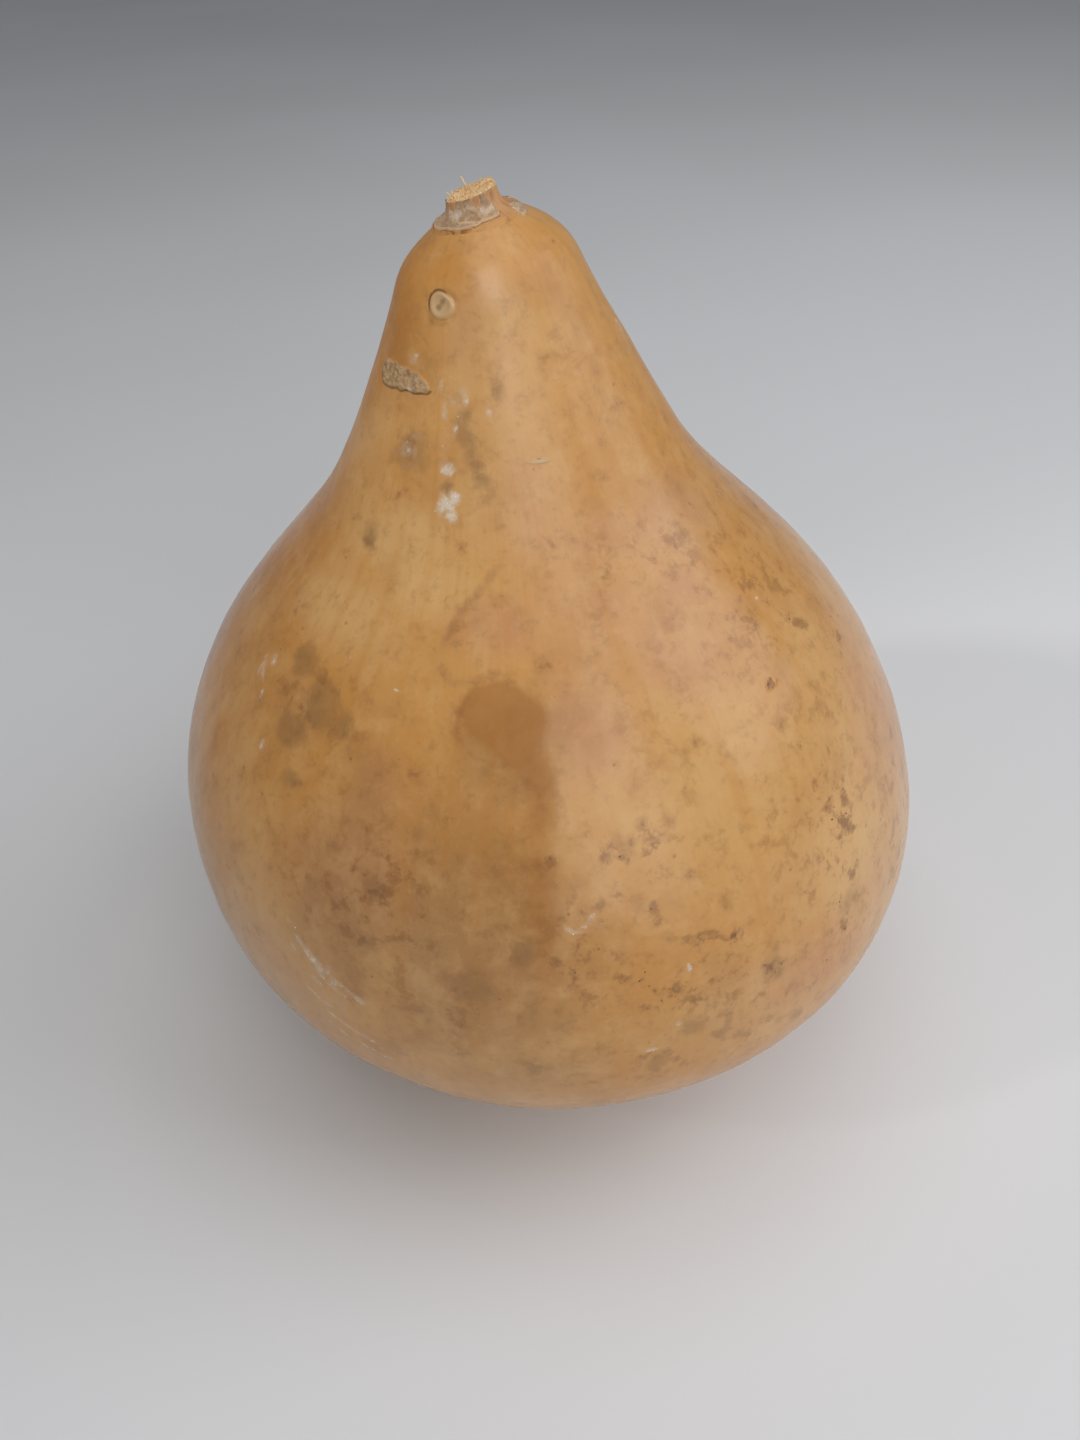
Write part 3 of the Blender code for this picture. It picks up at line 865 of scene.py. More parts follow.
# Duller, browner parts of the rind, partly painted shade: the darker lower front left of the window light's
# shine and the darker far left side
PATINA_AND_SHADE_SPOTS = (
    (-12, 110, 26, 40, 0.95), (-7, 146, 14, 16, 0.75), (-30, 112, 24, 30, 0.7), (-30, 140, 14, 12, 0.45),
    (-48, 146, 12, 12, 0.55), (20, 84, 34, 14, 0.3), (-10, 78, 30, 18, 0.6), (-70, 100, 20, 30, 0.35),
    (-94, 130, 16, 44, 0.5),
    (48, 96, 20, 14, 0.15), (-15, 197, 5, 9, 0.5), (170, 90, 60, 40, 0.5),
)
# Marks sown on the sides and back: how many, and the seed of their places
BACK_BLOOMS, BACK_CRUSTS, BACK_VEINS, BACK_CHALKS = (60, 11), (46, 12), (16, 13), (14, 14)


def back_places(count, seed):
    """Seeded places on the part of the rind that the lists above leave bare."""
    dice = np.random.default_rng(seed)
    azimuths = dice.uniform(75.0, 285.0, count)
    heights = 12.0 + 200.0 * dice.beta(1.6, 2.2, count)
    return dice, azimuths, heights


def lay_spots(surface, points, rows, largest=1.6):
    """The strongest of many soft marks at each point; rows end in their strength."""
    field = np.zeros(len(points))
    for row in rows:
        azimuth, height, width = row[:3]
        tall = row[3] if len(row) == 5 else width
        field = np.maximum(field, row[-1] * surface.spot(points, azimuth, height, width, tall))
    return np.minimum(field, largest)


def lay_trails(surface, points, rows):
    """The strongest of many soft lines at each point; each row is a width and its stops."""
    field = np.zeros(len(points))
    for width, stops in rows:
        field = np.maximum(field, surface.trail(points, stops, width))
    return field


def back_fields(surface, points):
    """Mould stains, crusty spots and white flecks where nothing is placed one by one."""
    dice, azimuths, heights = back_places(*BACK_BLOOMS)
    sizes = dice.gamma(2.2, 2.0, len(azimuths)) + 1.5
    blooms = list(zip(azimuths, heights, sizes, dice.uniform(0.45, 0.95, len(azimuths))))
    dice, azimuths, heights = back_places(*BACK_CRUSTS)
    crusts = [(a, h, s, 0.85) for a, h, s in zip(azimuths, heights, dice.uniform(0.8, 2.2, len(azimuths)))]
    dice, azimuths, heights = back_places(*BACK_VEINS)
    veins = []
    for azimuth, height in zip(azimuths, heights):
        steps = np.cumsum(dice.normal(0.0, (2.2, 2.6), (5, 2)), axis=0)
        veins.append((0.9, [(azimuth + a, max(8.0, height + h)) for a, h in steps]))
    dice, azimuths, heights = back_places(*BACK_CHALKS)
    sizes = dice.uniform(0.7, 1.6, len(azimuths))
    chalks = [(a, h, s, 2.0 * s, 0.8) for a, h, s in zip(azimuths, heights, sizes)]
    return (lay_spots(surface, points, blooms),
            np.maximum(lay_spots(surface, points, crusts), 0.85 * lay_trails(surface, points, veins)),
            lay_spots(surface, points, chalks))


def paint(surface, mesh):
    """Writes every painted field of the rind's material on a mesh that lies on the rind."""
    points = vertex_places(mesh)
    heights = points[:, 2]
    azimuth = np.arctan2(points[:, 0] - axis_offset(heights), -points[:, 1])
    grain = np.stack([0.1 * np.cos(azimuth), 0.1 * np.sin(azimuth), 0.12 * heights], axis=1)
    back_bloom, back_crust, back_chalk = back_fields(surface, points)
    crust = np.maximum(lay_spots(surface, points, CRUSTS), 0.9 * lay_trails(surface, points, VEINS))
    tide = np.maximum(0.9 * lay_trails(surface, points, [(2.0, TIDE_LINE)]),
                      0.7 * lay_trails(surface, points, [(1.3, STAIN_EDGE)]))
    tide = np.maximum(tide, 0.8 * lay_trails(surface, points, CRACKLE))
    chalk = np.maximum(lay_spots(surface, points, CHALKS), 0.95 * lay_trails(surface, points, SCUFFS))
    store(mesh, "grain", grain, "FLOAT_VECTOR")
    store(mesh, "bloom", np.maximum(lay_spots(surface, points, BLOOMS), back_bloom))
    store(mesh, "crust", np.maximum(crust, back_crust))
    store(mesh, "tide", tide)
    # the stain patch and the painted shade band that runs down below it
    stain_and_shade = sum(row[3] * surface.spot(points, *row[:3]) for row in STAIN_AND_SHADE_SPOTS)
    store(mesh, "stain_and_shade", np.minimum(stain_and_shade, 1.2))
    store(mesh, "chalk", np.maximum(chalk, back_chalk))
    for title, rows in (("fleck", FLECKS), ("patina_and_shade", PATINA_AND_SHADE_SPOTS), ("gold", GOLDS), ("pale", PALES),
                        ("rose", ROSES)):
        store(mesh, title, lay_spots(surface, points, rows))


# ------------------------------------------------------------------ scars with a shape of their own
# Each shape takes mm to the right and up from its middle and returns its height over the rind, in
# mm, with the painted fields that it sets.
def roughness_at(points, feature, seed=0.0):
    """Smooth noise from -1 to 1 at each point, features about `feature` metres across."""
    shift = Vector((seed, 2.0 * seed, -seed))
    return np.array([noise.fractal(Vector(p) / feature + shift, 0.6, 2.1, 4) for p in points])


def bell(value, middle, width):
    return np.exp(-((value - middle) / width) ** 2)


def ring_scar(right, up, points):
    """A healed bud scar: a raised round rim with a dished middle and a dark crescent above."""
    turn = np.arctan2(up, right)
    out = np.hypot(right, up) / (1.0 + 0.08 * np.cos(2.0 * turn + 0.8) + 0.05 * np.cos(3.0 * turn))
    rim = bell(out, 2.15, 0.62)
    height = 0.34 * rim - 0.12 * bell(out, 0.0, 1.2) - 0.08 * bell(out, 3.0, 0.4)
    crescent = bell(out, 2.95, 0.34) * np.clip(np.cos(turn - 2.35) * 1.2 + 0.1, 0.0, 1.0)
    under = 0.5 * bell(out, 2.9, 0.3) * np.clip(np.cos(turn + 1.2), 0.0, 1.0)
    bean = bell(right, 0.35, 0.75) * bell(up, 0.75, 0.75) + bell(right, -0.5, 0.7) * bell(up, -0.4, 0.6)
    disc = np.clip((2.75 - out) / 0.4, 0.0, 1.0)
    return height + 0.08 * bean, {
        "callus": 0.85 * disc, "pit": 0.6 * bean + 0.25 * disc,
        "edge": 1.1 * np.maximum(crescent, under), "bloom": 0.5 * bell(out, 3.6, 1.4)}


def cork_scab(right, up, points):
    """A long, rough strip of raised cork that narrows to one end, cracked and dirty, with painted shade along
    its lower edge.
    """
    bend = 0.35 * np.sin(right * 0.33) - 0.05 * right
    half_tall = 2.25 - 0.09 * right + 0.10 * np.sin(right * 1.7) + 0.2 * roughness_at(points, 2.8 * MM, 3.0)
    far = np.maximum(0.0, np.abs(right) / 7.4 - 0.55) / 0.55
    out = np.hypot(far, (up - bend) / half_tall)
    body = np.clip((1.12 - out) / 0.28, 0.0, 1.0)
    rough = roughness_at(points, 0.9 * MM, 4.0)
    coarse = roughness_at(points, 2.0 * MM, 9.0)
    height = body * (0.45 + 0.22 * rough + 0.22 * coarse)
    grit = np.clip(rough * 1.8 - 0.2, 0.0, 1.0) * body
    # the dark outline is stronger under the scab than over it: painted shade under the raised scab
    outline = bell(out, 1.12, 0.13) * np.clip(0.75 - 0.5 * np.sign(up - bend), 0.3, 1.0)
    return height, {"cork": 1.25 * body, "pit": 0.35 * body * np.clip(0.5 - coarse, 0.0, 1.0),
                    "edge": 0.9 * outline + 0.55 * np.clip(-coarse * 2.0 - 0.5, 0, 1) * body,
                    "chalk": 0.9 * grit * np.clip(right / 8.0 + 0.2, 0, 1)}


def lens_scar(right, up, points):
    """A pale split lens with a dark speck in it and a thin lip below."""
    curve = up - 0.055 * right ** 2 + 0.35
    half = np.clip(1.0 - (right / 3.1) ** 2, 0.0, 1.0)
    body = bell(curve, 0.0, 0.62) * half
    lip = bell(curve, -0.55, 0.22) * half
    speck = bell(right + 0.2, 0.0, 0.45) * bell(curve, 0.15, 0.18)
    return 0.16 * lip + 0.04 * body - 0.2 * speck, {
        "callus": 0.75 * body + 0.5 * lip, "edge": 0.7 * speck + 0.5 * bell(curve, 0.62, 0.16) * half
        + 0.35 * bell(curve, -0.95, 0.2) * half}


def oval_pit(right, up, points):
    """A small healed knock: a faint oval with a shaded edge."""
    out = np.hypot(right / 0.85, up / 1.15)
    rim = bell(out, 1.25, 0.4)
    return 0.035 * rim - 0.06 * bell(out, 0.0, 0.8), {
        "callus": 0.45 * bell(out, 0.0, 1.0), "edge": 0.45 * bell(out, 1.35, 0.25) * np.clip(-up, 0.0, 1.0)}


def crusty_spot(right, up, points):
    """A low, uneven brown crust with a small dark hollow in it."""
    rough = roughness_at(points, 1.0 * MM, 2.0)
    coarse = roughness_at(points, 2.4 * MM, 6.0)
    out = np.hypot(right / 2.4, up / 1.7) + 0.55 * coarse + 0.25 * rough
    body = np.clip(1.2 - out, 0.0, 0.7) / 0.7
    hollow = bell(np.hypot(right + 0.5, up - 0.1), 0.0, 0.32)
    return body * (0.14 + 0.2 * rough) - 0.15 * hollow, {
        "tide": 1.5 * body * np.clip(0.75 + 1.2 * rough, 0.0, 1.0), "crust": 1.0 * hollow, "pit": 0.35 * body}


def brown_ring(right, up, points):
    """A small broken brown ring with a raised edge."""
    out = np.hypot(right, up / 1.3) + 0.35 * roughness_at(points, 1.4 * MM, 7.0)
    ring = bell(out, 1.05, 0.34) * np.clip(0.6 + 1.2 * roughness_at(points, 2.0 * MM, 3.0), 0.0, 1.0)
    return 0.10 * ring, {"tide": 1.1 * ring, "edge": 0.6 * ring}


# shape, azimuth, height, patch radius in mm
SCARS = (
    (ring_scar, -28.8, 220.8, 4.8), (cork_scab, -51.5, 206.2, 10.5), (lens_scar, 9.8, 194.0, 4.4),
    (oval_pit, 36.1, 207.6, 3.8), (oval_pit, 24.7, 208.2, 3.8), (crusty_spot, 43.1, 146.3, 4.8),
    (crusty_spot, 22.8, 106.2, 4.8), (brown_ring, -22.9, 125.9, 3.6), (crusty_spot, 80.8, 209.8, 4.6),
    (ring_scar, 152.0, 176.0, 4.8), (cork_scab, -166.0, 170.0, 10.5),
    (oval_pit, -104.0, 190.0, 3.8), (crusty_spot, 118.0, 98.0, 4.8), (brown_ring, 196.0, 120.0, 3.6),
    (lens_scar, -96.0, 112.0, 4.4),
)
PATCH_SPACING = 0.16                            # mm between a patch's circles of points
SPOKE_SPACING = 0.256                           # mm between the points of its rim
DROP_HEIGHT = 8.0                               # mm over the rind from which its points are dropped
FADE_END, FADE_LENGTH = 0.97, 0.15              # shares of the radius where a scar's relief dies out
EDGE_START = 0.84                               # share of the radius where a patch's edge turns down
SUNK_MARGIN = 1.5                               # mm inside a patch's edge where the rind gives way
SUNK_DEPTH = 1.2 * MM
PATCH_PROUD = 0.014                             # mm that a patch's inside stands over the rind
EDGE_DIP = 2.5                                  # times PATCH_PROUD that its rim goes down
PATCH_DEGREE = 5                                # of the smooth surface that follows the rind
PATCH_BELLY = 0.9 * MM                          # how far a patch's closed underside sags


def patch_points(surface, azimuth, height, radius):
    """A round net of points laid on the rind.

    Returns their places, the patch's normal, the rind's normals under them, their mm to the right
    and up, the faces, and the faces that close the net to one more point under its middle.
    """
    spot, normal, right, up = surface.frame(azimuth, height)
    spokes = int(math.tau * radius / SPOKE_SPACING)
    circles = int(radius / PATCH_SPACING)
    turns = np.linspace(0.0, math.tau, spokes, endpoint=False)
    flat = [(0.0, 0.0)]
    for circle in range(1, circles + 1):
        reach = radius * circle / circles
        flat += [(reach * math.cos(turn), reach * math.sin(turn)) for turn in turns]
    flat = np.array(flat)
    above = spot + (flat[:, :1] * right + flat[:, 1:] * up) * MM + DROP_HEIGHT * MM * normal
    down = Vector(-normal)
    hits = [surface.tree.ray_cast(Vector(p), down)[3] for p in above]
    drop = np.array([2.0 * DROP_HEIGHT if hit is None else hit / MM for hit in hits])
    x, y = flat[:, 0] / radius, flat[:, 1] / radius
    powers = [(i, j) for i in range(PATCH_DEGREE + 1) for j in range(PATCH_DEGREE + 1 - i)]
    terms = np.stack([x ** i * y ** j for i, j in powers], axis=1)
    smooth_drop = terms @ np.linalg.lstsq(terms, drop, rcond=None)[0]
    laid = above - smooth_drop[:, None] * MM * normal
    under = surface.normals_below(above, -normal)
    faces = [(0, 1 + i, 1 + (i + 1) % spokes) for i in range(spokes)]
    for circle in range(circles - 1):
        inner, outer = 1 + circle * spokes, 1 + (circle + 1) * spokes
        for i in range(spokes):
            j = (i + 1) % spokes
            faces.append((inner + i, outer + i, outer + j, inner + j))
    rim = len(flat) - spokes
    closing = [(rim + (i + 1) % spokes, rim + i, len(flat)) for i in range(spokes)]
    return laid, normal, under, flat, faces, closing


def net_normals(points, faces):
    """Smooth normals of a net of faces."""
    mesh = new_mesh("net", points, faces)
    normals = vertex_normals(mesh)
    bpy.data.meshes.remove(mesh)
    return normals


def make_scars(surface, rind, material):
    """Finely meshed patches for the scars, let into the rind, which gives way under them."""
    places, faces, fields, leans = [], [], [], []
    bare = vertex_places(rind.data)
    sunk = bare.copy()
    for shape, azimuth, height, radius in SCARS:
        laid, normal, under, flat, net, closing = patch_points(surface, azimuth, height, radius)
        rise_mm, marks = shape(flat[:, 0], flat[:, 1], laid)
        share = np.hypot(flat[:, 0], flat[:, 1]) / radius
        fade = np.clip((FADE_END - share) / FADE_LENGTH, 0.0, 1.0)
        dip = np.clip((share - EDGE_START) / (1.0 - EDGE_START), 0.0, 1.0) ** 2
        edge = PATCH_PROUD * (1.0 - EDGE_DIP * dip)
        offset = rise_mm * fade + edge
        raised = laid + (rise_mm * fade)[:, None] * MM * normal
        lean = under + net_normals(raised, net) - net_normals(laid, net)
        leans.append(np.vstack([lean / np.linalg.norm(lean, axis=1)[:, None], -normal]))
        start = sum(len(p) for p in places)
        belly = laid[0] - PATCH_BELLY * normal
        places.append(np.vstack([laid + offset[:, None] * MM * normal, belly]))
        faces += [tuple(start + corner for corner in face) for face in net + closing]
        fields.append({title: np.append(values * fade, 0.0) for title, values in marks.items()})
        right, up, near = surface.beside(bare, azimuth, height)
        give = np.clip((radius - SUNK_MARGIN - np.hypot(right, up)) / 0.4, 0.0, 1.0) * (near > 0.9)
        sunk -= give[:, None] * SUNK_DEPTH * normal
    points = np.concatenate(places)
    mesh = new_mesh("scars", points, faces, material)
    mesh.normals_split_custom_set_from_vertices(np.concatenate(leans).tolist())
    paint(surface, mesh)
    store(rind.data, "edge", np.zeros(len(bare)))
    for title in sorted({title for marks in fields for title in marks}):
        values = np.concatenate([marks.get(title, np.zeros(len(p))) for marks, p in zip(fields, places)])
        if title in mesh.attributes:
            already = np.zeros(len(points))
            mesh.attributes[title].data.foreach_get("value", already)
            values = np.maximum(values, already)
        store(mesh, title, values)
    rind.data.vertices.foreach_set("co", sunk.astype(np.float32).ravel())
    rind.data.update()
    return place("scars", mesh)


# ------------------------------------------------------------------ stem
STEM_SIDE = np.array([math.cos(CROWN_TILT), 0.0, math.sin(CROWN_TILT)])
STEM_UP = np.array([-math.sin(CROWN_TILT), 0.0, math.cos(CROWN_TILT)])
STEM_FRONT = np.array([0.0, -1.0, 0.0])
STEM_BASE = np.array([float(axis_offset(SEAT_HEIGHT)), 0.0, SEAT_HEIGHT])
TORN_RISE = 0.85                                          # mm that the torn cut tops its middle
CUT_HEIGHT = (STEM_TOP - SEAT_HEIGHT) / MM - TORN_RISE    # mm over the seat, at the cut's middle
CUT_SLOPE = 0.10                                          # how far the cut rises to the right
CUT_RADIUS = 5.2                                          # mm
RIND_DROP = 8.0                                           # mm over the seat, clear of the rind
# Outline of the stem's skin over the seat, in mm: height, radius
STEM_SKIN = ((1.0, 5.25), (0.80, 5.35), (0.60, 5.6), (0.42, 6.1), (0.27, 6.9), (0.16, 8.0), (0.09, 9.2))
SKIRT = ((9.5, 0.03), (9.9, -0.05), (10.4, -0.20))         # mm: radius, height over the rind
CORK_SKIRT = ((9.7, 0.04), (10.4, 0.02), (11.3, 0.0))
STEM_SPOKES = 200


def stem_point(turn, radius, height):
    """Point at a turn from the front, a radius and a height over the seat, in mm."""
    across, ahead = radius * np.sin(turn), radius * np.cos(turn)
    local = across[..., None] * STEM_SIDE + ahead[..., None] * STEM_FRONT + height[..., None] * STEM_UP
    return STEM_BASE + local * MM


def rind_level(surface, turn, radius):
    """Height of the rind over the seat's plane at a turn and radius, in mm."""
    start = stem_point(np.array(turn), np.array(radius), np.array(RIND_DROP))
    hit = surface.tree.ray_cast(Vector(start), Vector(-STEM_UP))[0]
    return (np.array(hit) - STEM_BASE) @ STEM_UP / MM


def fluting(turns, strength):
    """Blunt ridges round the stem, none quite like the next."""
    ridges = np.cos(5.0 * turns + 0.6) + 0.5 * np.cos(8.0 * turns + 2.0) + 0.3 * np.cos(13.0 * turns)
    return strength * ridges


def stem_turns(count=STEM_SPOKES):
    return np.linspace(0.0, math.tau, count, endpoint=False)


def skin_rings(surface, turns, count=34, skirt=SKIRT):
    """Rings of the stem's skin, from the cut down on to the rind: radii and heights in mm."""
    corners = [(share * CUT_HEIGHT, radius) for share, radius in STEM_SKIN]
    rings = []
    for i, (height, radius) in enumerate(smooth_curve(corners, count, 2)):
        down = i / (count - 1.0)
        radii = radius + fluting(turns, 0.13 * (1.0 - down) + 0.03)
        level = np.array([rind_level(surface, turn, r) for turn, r in zip(turns, radii)])
        slope = CUT_SLOPE * radii * np.sin(turns) * (1.0 - down) ** 1.5
        rings.append((radii, height + level * down ** 2 + slope))
    for radius, over in skirt:
        radii = radius + 0.3 * np.sin(3.0 * turns)
        level = np.array([rind_level(surface, turn, r) for turn, r in zip(turns, radii)])
        rings.append((radii, level + over))
    return rings


def cut_rings(turns, rim_radii, count=24):
    """Rings of the cut face from its middle out to the rim: radii and heights in mm."""
    rings = []
    for share in np.linspace(0.04, 1.0, count):
        radii = rim_radii * share
        flat = np.stack([radii * np.sin(turns), radii * np.cos(turns), np.zeros(len(turns))], axis=1)
        torn = 0.16 * roughness_at(flat * MM, 0.9 * MM, 3.0) + 0.12 * roughness_at(flat * MM, 2.6 * MM, 6.0)
        chip = 0.45 * bell(turns, 2.3, 0.6) * share ** 3 - 0.35 * bell(turns, 5.0, 0.35) * share ** 4
        slope = CUT_SLOPE * radii * np.sin(turns)
        rings.append((radii, CUT_HEIGHT + slope + torn + chip - 0.25 * (1.0 - share ** 2)))
    return rings


def skin_faces(rows, columns):
    """Quads of a closed band of rings, the first ring on top and faces outwards."""
    faces = []
    for i in range(rows - 1):
        for j in range(columns):
            k = (j + 1) % columns
            faces.append((i * columns + j, (i + 1) * columns + j, (i + 1) * columns + k, i * columns + k))
    return faces


def ring_points(turns, rings):
    return np.concatenate([stem_point(turns, radii, heights) for radii, heights in rings])


def make_stem(surface, skin_look, cut_look):
    """The stub in one mesh: its torn cut, fluted skin and the foot that runs out on the rind."""
    turns = stem_turns()
    skin = skin_rings(surface, turns)
    cut = cut_rings(turns, skin[0][0])
    skin[0] = cut[-1]
    rings = cut[:-1] + skin
    points = ring_points(turns, rings)
    faces = skin_faces(len(rings), STEM_SPOKES)
    faces.append(tuple(range(STEM_SPOKES)))
    foot = (len(rings) - 1) * STEM_SPOKES
    faces.append(tuple(foot + j for j in reversed(range(STEM_SPOKES))))
    mesh = new_mesh("stem_stub", points, faces, skin_look, cut_look)
    cut_faces = (len(cut) - 1) * STEM_SPOKES
    look = np.zeros(len(faces), dtype=np.int32)
    look[:cut_faces] = 1
    look[-2] = 1
    mesh.polygons.foreach_set("material_index", look)
    heights = np.concatenate([h for _, h in rings])
    radii = np.concatenate([r for r, _ in rings])
    around = np.tile(turns, len(rings))
    store(mesh, "up_share", np.clip((10.0 - radii) / 4.2, 0.0, 1.0))
    store(mesh, "rim", np.clip((radii - 0.86 * CUT_RADIUS) / 0.6, 0.0, 1.0))
    grain = np.stack([5.0 * np.cos(around), 5.0 * np.sin(around), 0.35 * heights], axis=1) * MM
    store(mesh, "grain", grain, "FLOAT_VECTOR")
    # painted shadow under the cork lobes' lips
    store(mesh, "gap_shadow", gap_shadow_field(around, radii))
    return place("stem_stub", mesh), cut


# Lobes of cork round the stem's foot: middle turn and half width in degrees, the radii in mm
# where the lobe starts under the cut and where it ends on the rind
CORK_LOBES = (
    (-48.0, 58.0, 4.75, 9.2), (6.0, 40.0, 4.9, 8.2), (80.0, 21.0, 7.2, 10.9),
    (148.0, 30.0, 6.3, 10.2), (218.0, 42.0, 6.6, 10.6),
)
CORK_CORE = (4.0, -1.2)                         # mm: radius, height of the ring that closes it inside
CORK_SINK = 0.32                                # mm that the sheet lies under the skin between lobes
CORK_SPOKES = 320


def lobe_shapes(turns, radii):
    """For each cork lobe: how far inside it each place is, from 0 to 1, and its outer edge."""
    for middle, half, start, end in CORK_LOBES:
        away = (np.degrees(turns) - middle + 180.0) % 360.0 - 180.0
        wave = 0.20 * np.sin(5.0 * turns + middle) + 0.12 * np.sin(11.0 * turns + 1.0)
        wave += 0.05 * np.sin(23.0 * turns)
        edge = end + wave - 1.2 * (away / half) ** 4
        top = start + 0.30 * np.sin(6.0 * turns + 2.0) + 0.15 * np.sin(13.0 * turns)
        inside = np.minimum((half - np.abs(away)) / 7.0, (radii - top) / 0.9)
        yield np.clip(np.minimum(inside, (edge - radii) / 0.28), 0.0, 1.0), edge, np.abs(away) < half


def gap_shadow_field(turns, radii):
    """Painted shadow in a small sunken gap just outside the edge of each cork lobe."""
    field = np.zeros(len(radii))
    for _, edge, beside in lobe_shapes(turns, radii):
        field = np.maximum(field, 0.9 * bell(radii - edge, 0.07, 0.13) * beside)
    return field


def make_cork(surface, look):
    """A rough corky collar in lobes over the stem's foot, with lifted, paler lips."""
    turns = stem_turns(CORK_SPOKES)
    rings = skin_rings(surface, turns, 46, CORK_SKIRT)
    flat = ring_points(turns, rings)
    radii = np.concatenate([r for r, _ in rings])
    around = np.tile(turns, len(rings))
    body, lip = np.zeros(len(flat)), np.zeros(len(flat))
    for inside, edge, beside in lobe_shapes(around, radii):
        body = np.maximum(body, inside)
        lip = np.maximum(lip, bell(edge - radii, 0.30, 0.32) * beside * (inside > 0.0))
    rough = roughness_at(flat, 0.8 * MM, 1.0)
    coarse = roughness_at(flat, 2.2 * MM, 5.0)
    proud = body ** 0.8 * (0.20 + 0.08 * rough + 0.14 * coarse) + 0.14 * lip - CORK_SINK * (1.0 - body)
    columns = CORK_SPOKES
    normals = net_normals(flat, skin_faces(len(rings), columns))
    core = stem_point(turns, np.full(columns, CORK_CORE[0]), np.full(columns, CORK_CORE[1]))
    points = np.concatenate([flat + proud[:, None] * MM * normals, core])
    faces = skin_faces(len(rings) + 1, columns)
    last = len(rings) * columns
    faces += [(last + j, j, (j + 1) % columns, last + (j + 1) % columns) for j in range(columns)]
    mesh = new_mesh("stem_cork", points, faces, look)
    store(mesh, "lip", np.append(lip, np.zeros(columns)))
    return place("stem_cork", mesh)


# Splinters on the cut: turn in degrees, radius, length, thickness and sideways lean, in mm
SPLINTERS = ((200.0, 2.6, 2.6, 0.34, -0.6), (285.0, 4.5, 1.2, 0.26, -0.4), (262.0, 4.0, 0.8, 0.17, 0.2),
             (150.0, 4.4, 0.7, 0.20, 0.15), (60.0, 3.9, 0.5, 0.16, 0.1))


SPLINTER_ROOT = 0.5                             # mm that a splinter starts under the cut


def make_splinters(look):
    """Long broken fibres: bent, flattened and tapering to a torn tip."""
    sides, steps = 7, 6
    points, faces = [], []
    for turn, radius, length, thickness, lean in SPLINTERS:
        start = len(points)
        for step in range(steps + 1):
            share = step / steps
            width = thickness * (1.0 - 0.55 * share)
            across = radius * math.sin(math.radians(turn)) + lean * share ** 2
            ahead = radius * math.cos(math.radians(turn))
            height = CUT_HEIGHT - SPLINTER_ROOT + (length + SPLINTER_ROOT) * share
            for side in range(sides):
                angle = math.tau * side / sides
                local = (STEM_SIDE * (across + width * math.sin(angle))
                         + STEM_FRONT * (ahead + 0.6 * width * math.cos(angle)) + STEM_UP * height)
                points.append(STEM_BASE + local * MM)
        for step in range(steps):
            low, high = start + step * sides, start + (step + 1) * sides
            for side in range(sides):
                after = (side + 1) % sides
                faces.append((high + side, low + side, low + after, high + after))
        faces.append(tuple(start + side for side in reversed(range(sides))))
        faces.append(tuple(start + steps * sides + side for side in range(sides)))
    return place("stem_splinters", new_mesh("stem_splinters", points, faces, look))


# ------------------------------------------------------------------ stage, light and camera
FLOOR_SIZE = 9.0
SOFTBOX_AIM = 0.10                              # height in metres that the soft panels are turned to
NECK_AIM, SHINE_AIM = 0.175, 0.222              # and the narrow beams
ROOM_GLOW = 0.20
CAMERA_PLACE = (-0.0089, -0.2431, 0.2960)
CAMERA_PITCH = math.radians(39.14)              # looking down
CAMERA_YAW = math.radians(1.48)                 # turned to the right
CAMERA_ROLL = math.radians(3.3)                 # right side dipped
LENS = 27.75                                    # mm, for a 36 mm long side


def make_floor(look):
    half = FLOOR_SIZE / 2.0
    corners = [(-half, -half, 0.0), (half, -half, 0.0), (half, half, 0.0), (-half, half, 0.0)]
    return place("floor", new_mesh("floor", corners, [(0, 1, 2, 3)], look))


def hang(name, light, azimuth, elevation, distance, aim_height, upright=False):
    """Hangs a lamp out from the fruit at an azimuth and elevation in degrees, turned to the aim."""
    lamp = bpy.data.objects.new(name, light)
    turn, lift = math.radians(azimuth), math.radians(elevation)
    toward = Vector((math.sin(turn) * math.cos(lift), -math.cos(turn) * math.cos(lift), math.sin(lift)))
    lamp.location = Vector((0.0, 0.0, aim_height)) + distance * toward
    facing = Vector((toward.x, toward.y, 0.0)) if upright else toward
    lamp.rotation_euler = (-facing).to_track_quat("-Z", "Y").to_euler()
    bpy.context.scene.collection.objects.link(lamp)
    return lamp


def softbox(name, azimuth, elevation, distance, width, height, glow, tint, upright=False):
    """A soft panel turned to the fruit; `glow` is its brightness, 1 being that of lit white."""
    light = bpy.data.lights.new(name, "AREA")
    light.shape = "RECTANGLE"
    light.size, light.size_y = width, height
    light.energy = glow * math.pi * width * height
    light.color = tint
    return hang(name, light, azimuth, elevation, distance, SOFTBOX_AIM, upright)


def snoot(name, azimuth, elevation, distance, aim_height, half_angle, watts, lamp_radius, tint):
    """A narrow soft beam on the part of the fruit around `aim_height` metres up."""
    light = bpy.data.lights.new(name, "SPOT")
    light.energy = watts
    light.spot_size = 2.0 * math.radians(half_angle)
    light.spot_blend = 0.9
    light.shadow_soft_size = lamp_radius
    light.color = tint
    return hang(name, light, azimuth, elevation, distance, aim_height)


WHITE, WARM, COOL = (1.0, 1.0, 1.0), (1.0, 0.97, 0.93), (0.92, 0.95, 1.0)


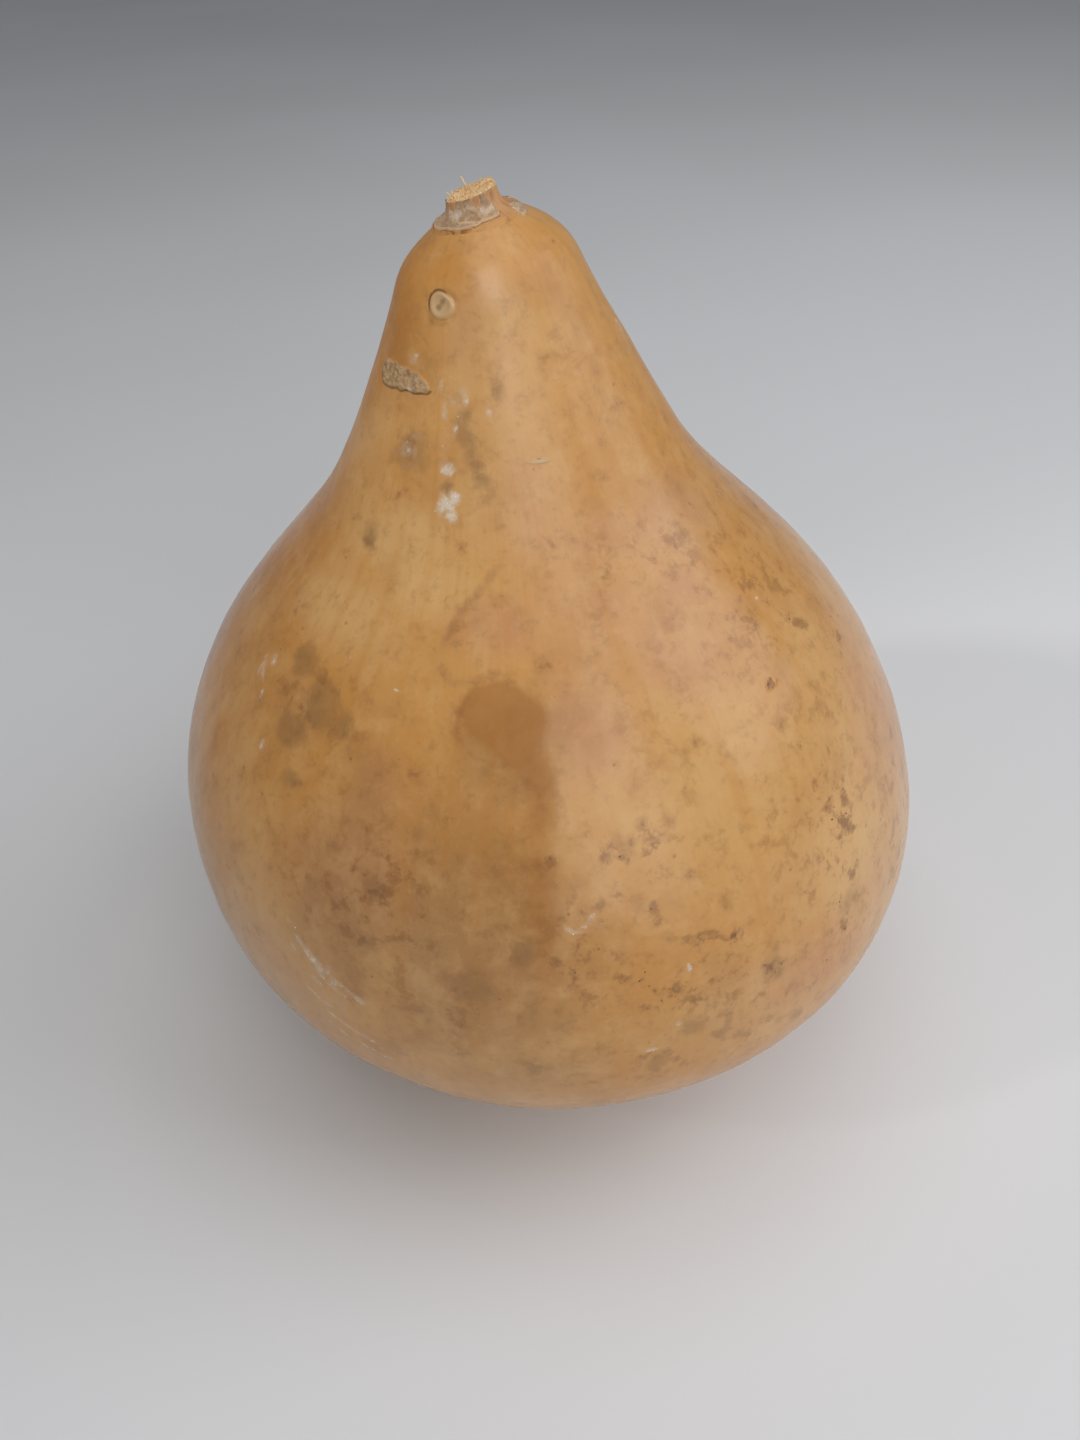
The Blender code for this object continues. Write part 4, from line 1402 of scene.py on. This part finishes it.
def light_room():
    world = bpy.data.worlds.new("room")
    world.use_nodes = True
    back = world.node_tree.nodes["Background"]
    back.inputs["Color"].default_value = COOL + (1.0,)
    back.inputs["Strength"].default_value = ROOM_GLOW
    bpy.context.scene.world = world
    # azimuth and elevation in degrees, then distance, width and height in metres, glow and tint
    softbox("window", 20.5, 32.0, 1.32, 0.72, 1.50, 1.82, WHITE, upright=True)
    softbox("ceiling", 20.0, 86.0, 1.6, 1.4, 1.4, 1.30, WARM)
    softbox("right_fill", 80.0, 38.0, 1.4, 1.0, 1.2, 2.0, COOL)
    # One beam lights the neck from the left, and three more give it a narrow upright shine: azimuth,
    # elevation, distance, aim, half angle in degrees, watts, lamp radius in metres and tint
    beam = snoot("neck_light", -70.0, 34.0, 1.3, NECK_AIM, 6.2, 20.0, 0.08, WARM)
    beam.visible_glossy = False
    for azimuth, elevation in ((-15.0, 61.0), (-9.0, 48.0), (-3.0, 36.0)):
        shine = snoot("neck_shine", azimuth, elevation, 1.3, SHINE_AIM, 2.8, 9.0, 0.02, COOL)
        shine.visible_diffuse = False


def make_camera():
    camera = bpy.data.cameras.new("camera")
    camera.lens = LENS
    camera.sensor_width = 36.0
    holder = bpy.data.objects.new("camera", camera)
    ahead = Vector((math.sin(CAMERA_YAW) * math.cos(CAMERA_PITCH),
                    math.cos(CAMERA_YAW) * math.cos(CAMERA_PITCH), -math.sin(CAMERA_PITCH)))
    level = ahead.cross(Vector((0.0, 0.0, 1.0))).normalized()
    upright = level.cross(ahead)
    right = level * math.cos(CAMERA_ROLL) - upright * math.sin(CAMERA_ROLL)
    top = level * math.sin(CAMERA_ROLL) + upright * math.cos(CAMERA_ROLL)
    turn = Matrix((right, top, -ahead)).transposed()
    holder.matrix_world = Matrix.Translation(CAMERA_PLACE) @ turn.to_4x4()
    bpy.context.scene.collection.objects.link(holder)
    bpy.context.scene.camera = holder


def keep(piece, slot, *nodes):
    """Hangs a finished piece on the root body and hides the CAD nodes that it stands for; its finish, slot,
    is not used.
    """
    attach(piece, "root")
    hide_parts(*nodes)


def main():
    bpy.context.scene.view_settings.view_transform = "Standard"
    make_camera()
    light_room()
    rind_look = rind_material()
    skin_look, cork_look, cut_look = stem_material(), cork_material(), cut_material()
    dark_grit = grain_material("dark_grit", DARK_GRIT, 0.8)
    white_grit = grain_material("white_grit", WHITE_GRIT, 0.85)

    rind = make_rind(rind_look)
    surface = Surface(rind.data)
    paint(surface, rind.data)
    sown = grains_tree()
    crumbs = grow("crust_grains", rind.data.copy(), sown, {
        "Field": "crust", "Density": 2.0e5, "Grain Size": 0.26 * MM, "Flatness": 0.35, "Seed": 5,
        "Material": dark_grit})
    flakes = grow("chalk_flakes", rind.data.copy(), sown, {
        "Field": "chalk", "Density": 3.0e5, "Grain Size": 0.20 * MM, "Flatness": 0.3, "Seed": 8,
        "Material": white_grit})
    scars = make_scars(surface, rind, rind_look)

    stem, cut = make_stem(surface, skin_look, cut_look)
    cork = make_cork(surface, cork_look)
    splinters = make_splinters(cut_look)
    turns = stem_turns()
    cut_host = bpy.data.meshes.new("cut_host")
    cut_host.from_pydata(ring_points(turns, cut).tolist(), [], skin_faces(len(cut), STEM_SPOKES))
    fibres = grow("stem_fibres", cut_host, fibres_tree(), {
        "Density": 4.5e6, "Fibre Radius": 0.09 * MM, "Fibre Length": 0.75 * MM, "Lean": 0.35, "Seed": 3,
        "Material": cut_look})

    for piece in (rind, scars, crumbs, flakes):
        keep(piece, "rind", "fruit")
    for piece in (stem, cork, splinters, fibres):
        keep(piece, "stem", "stem")
    make_floor(floor_material())


main()
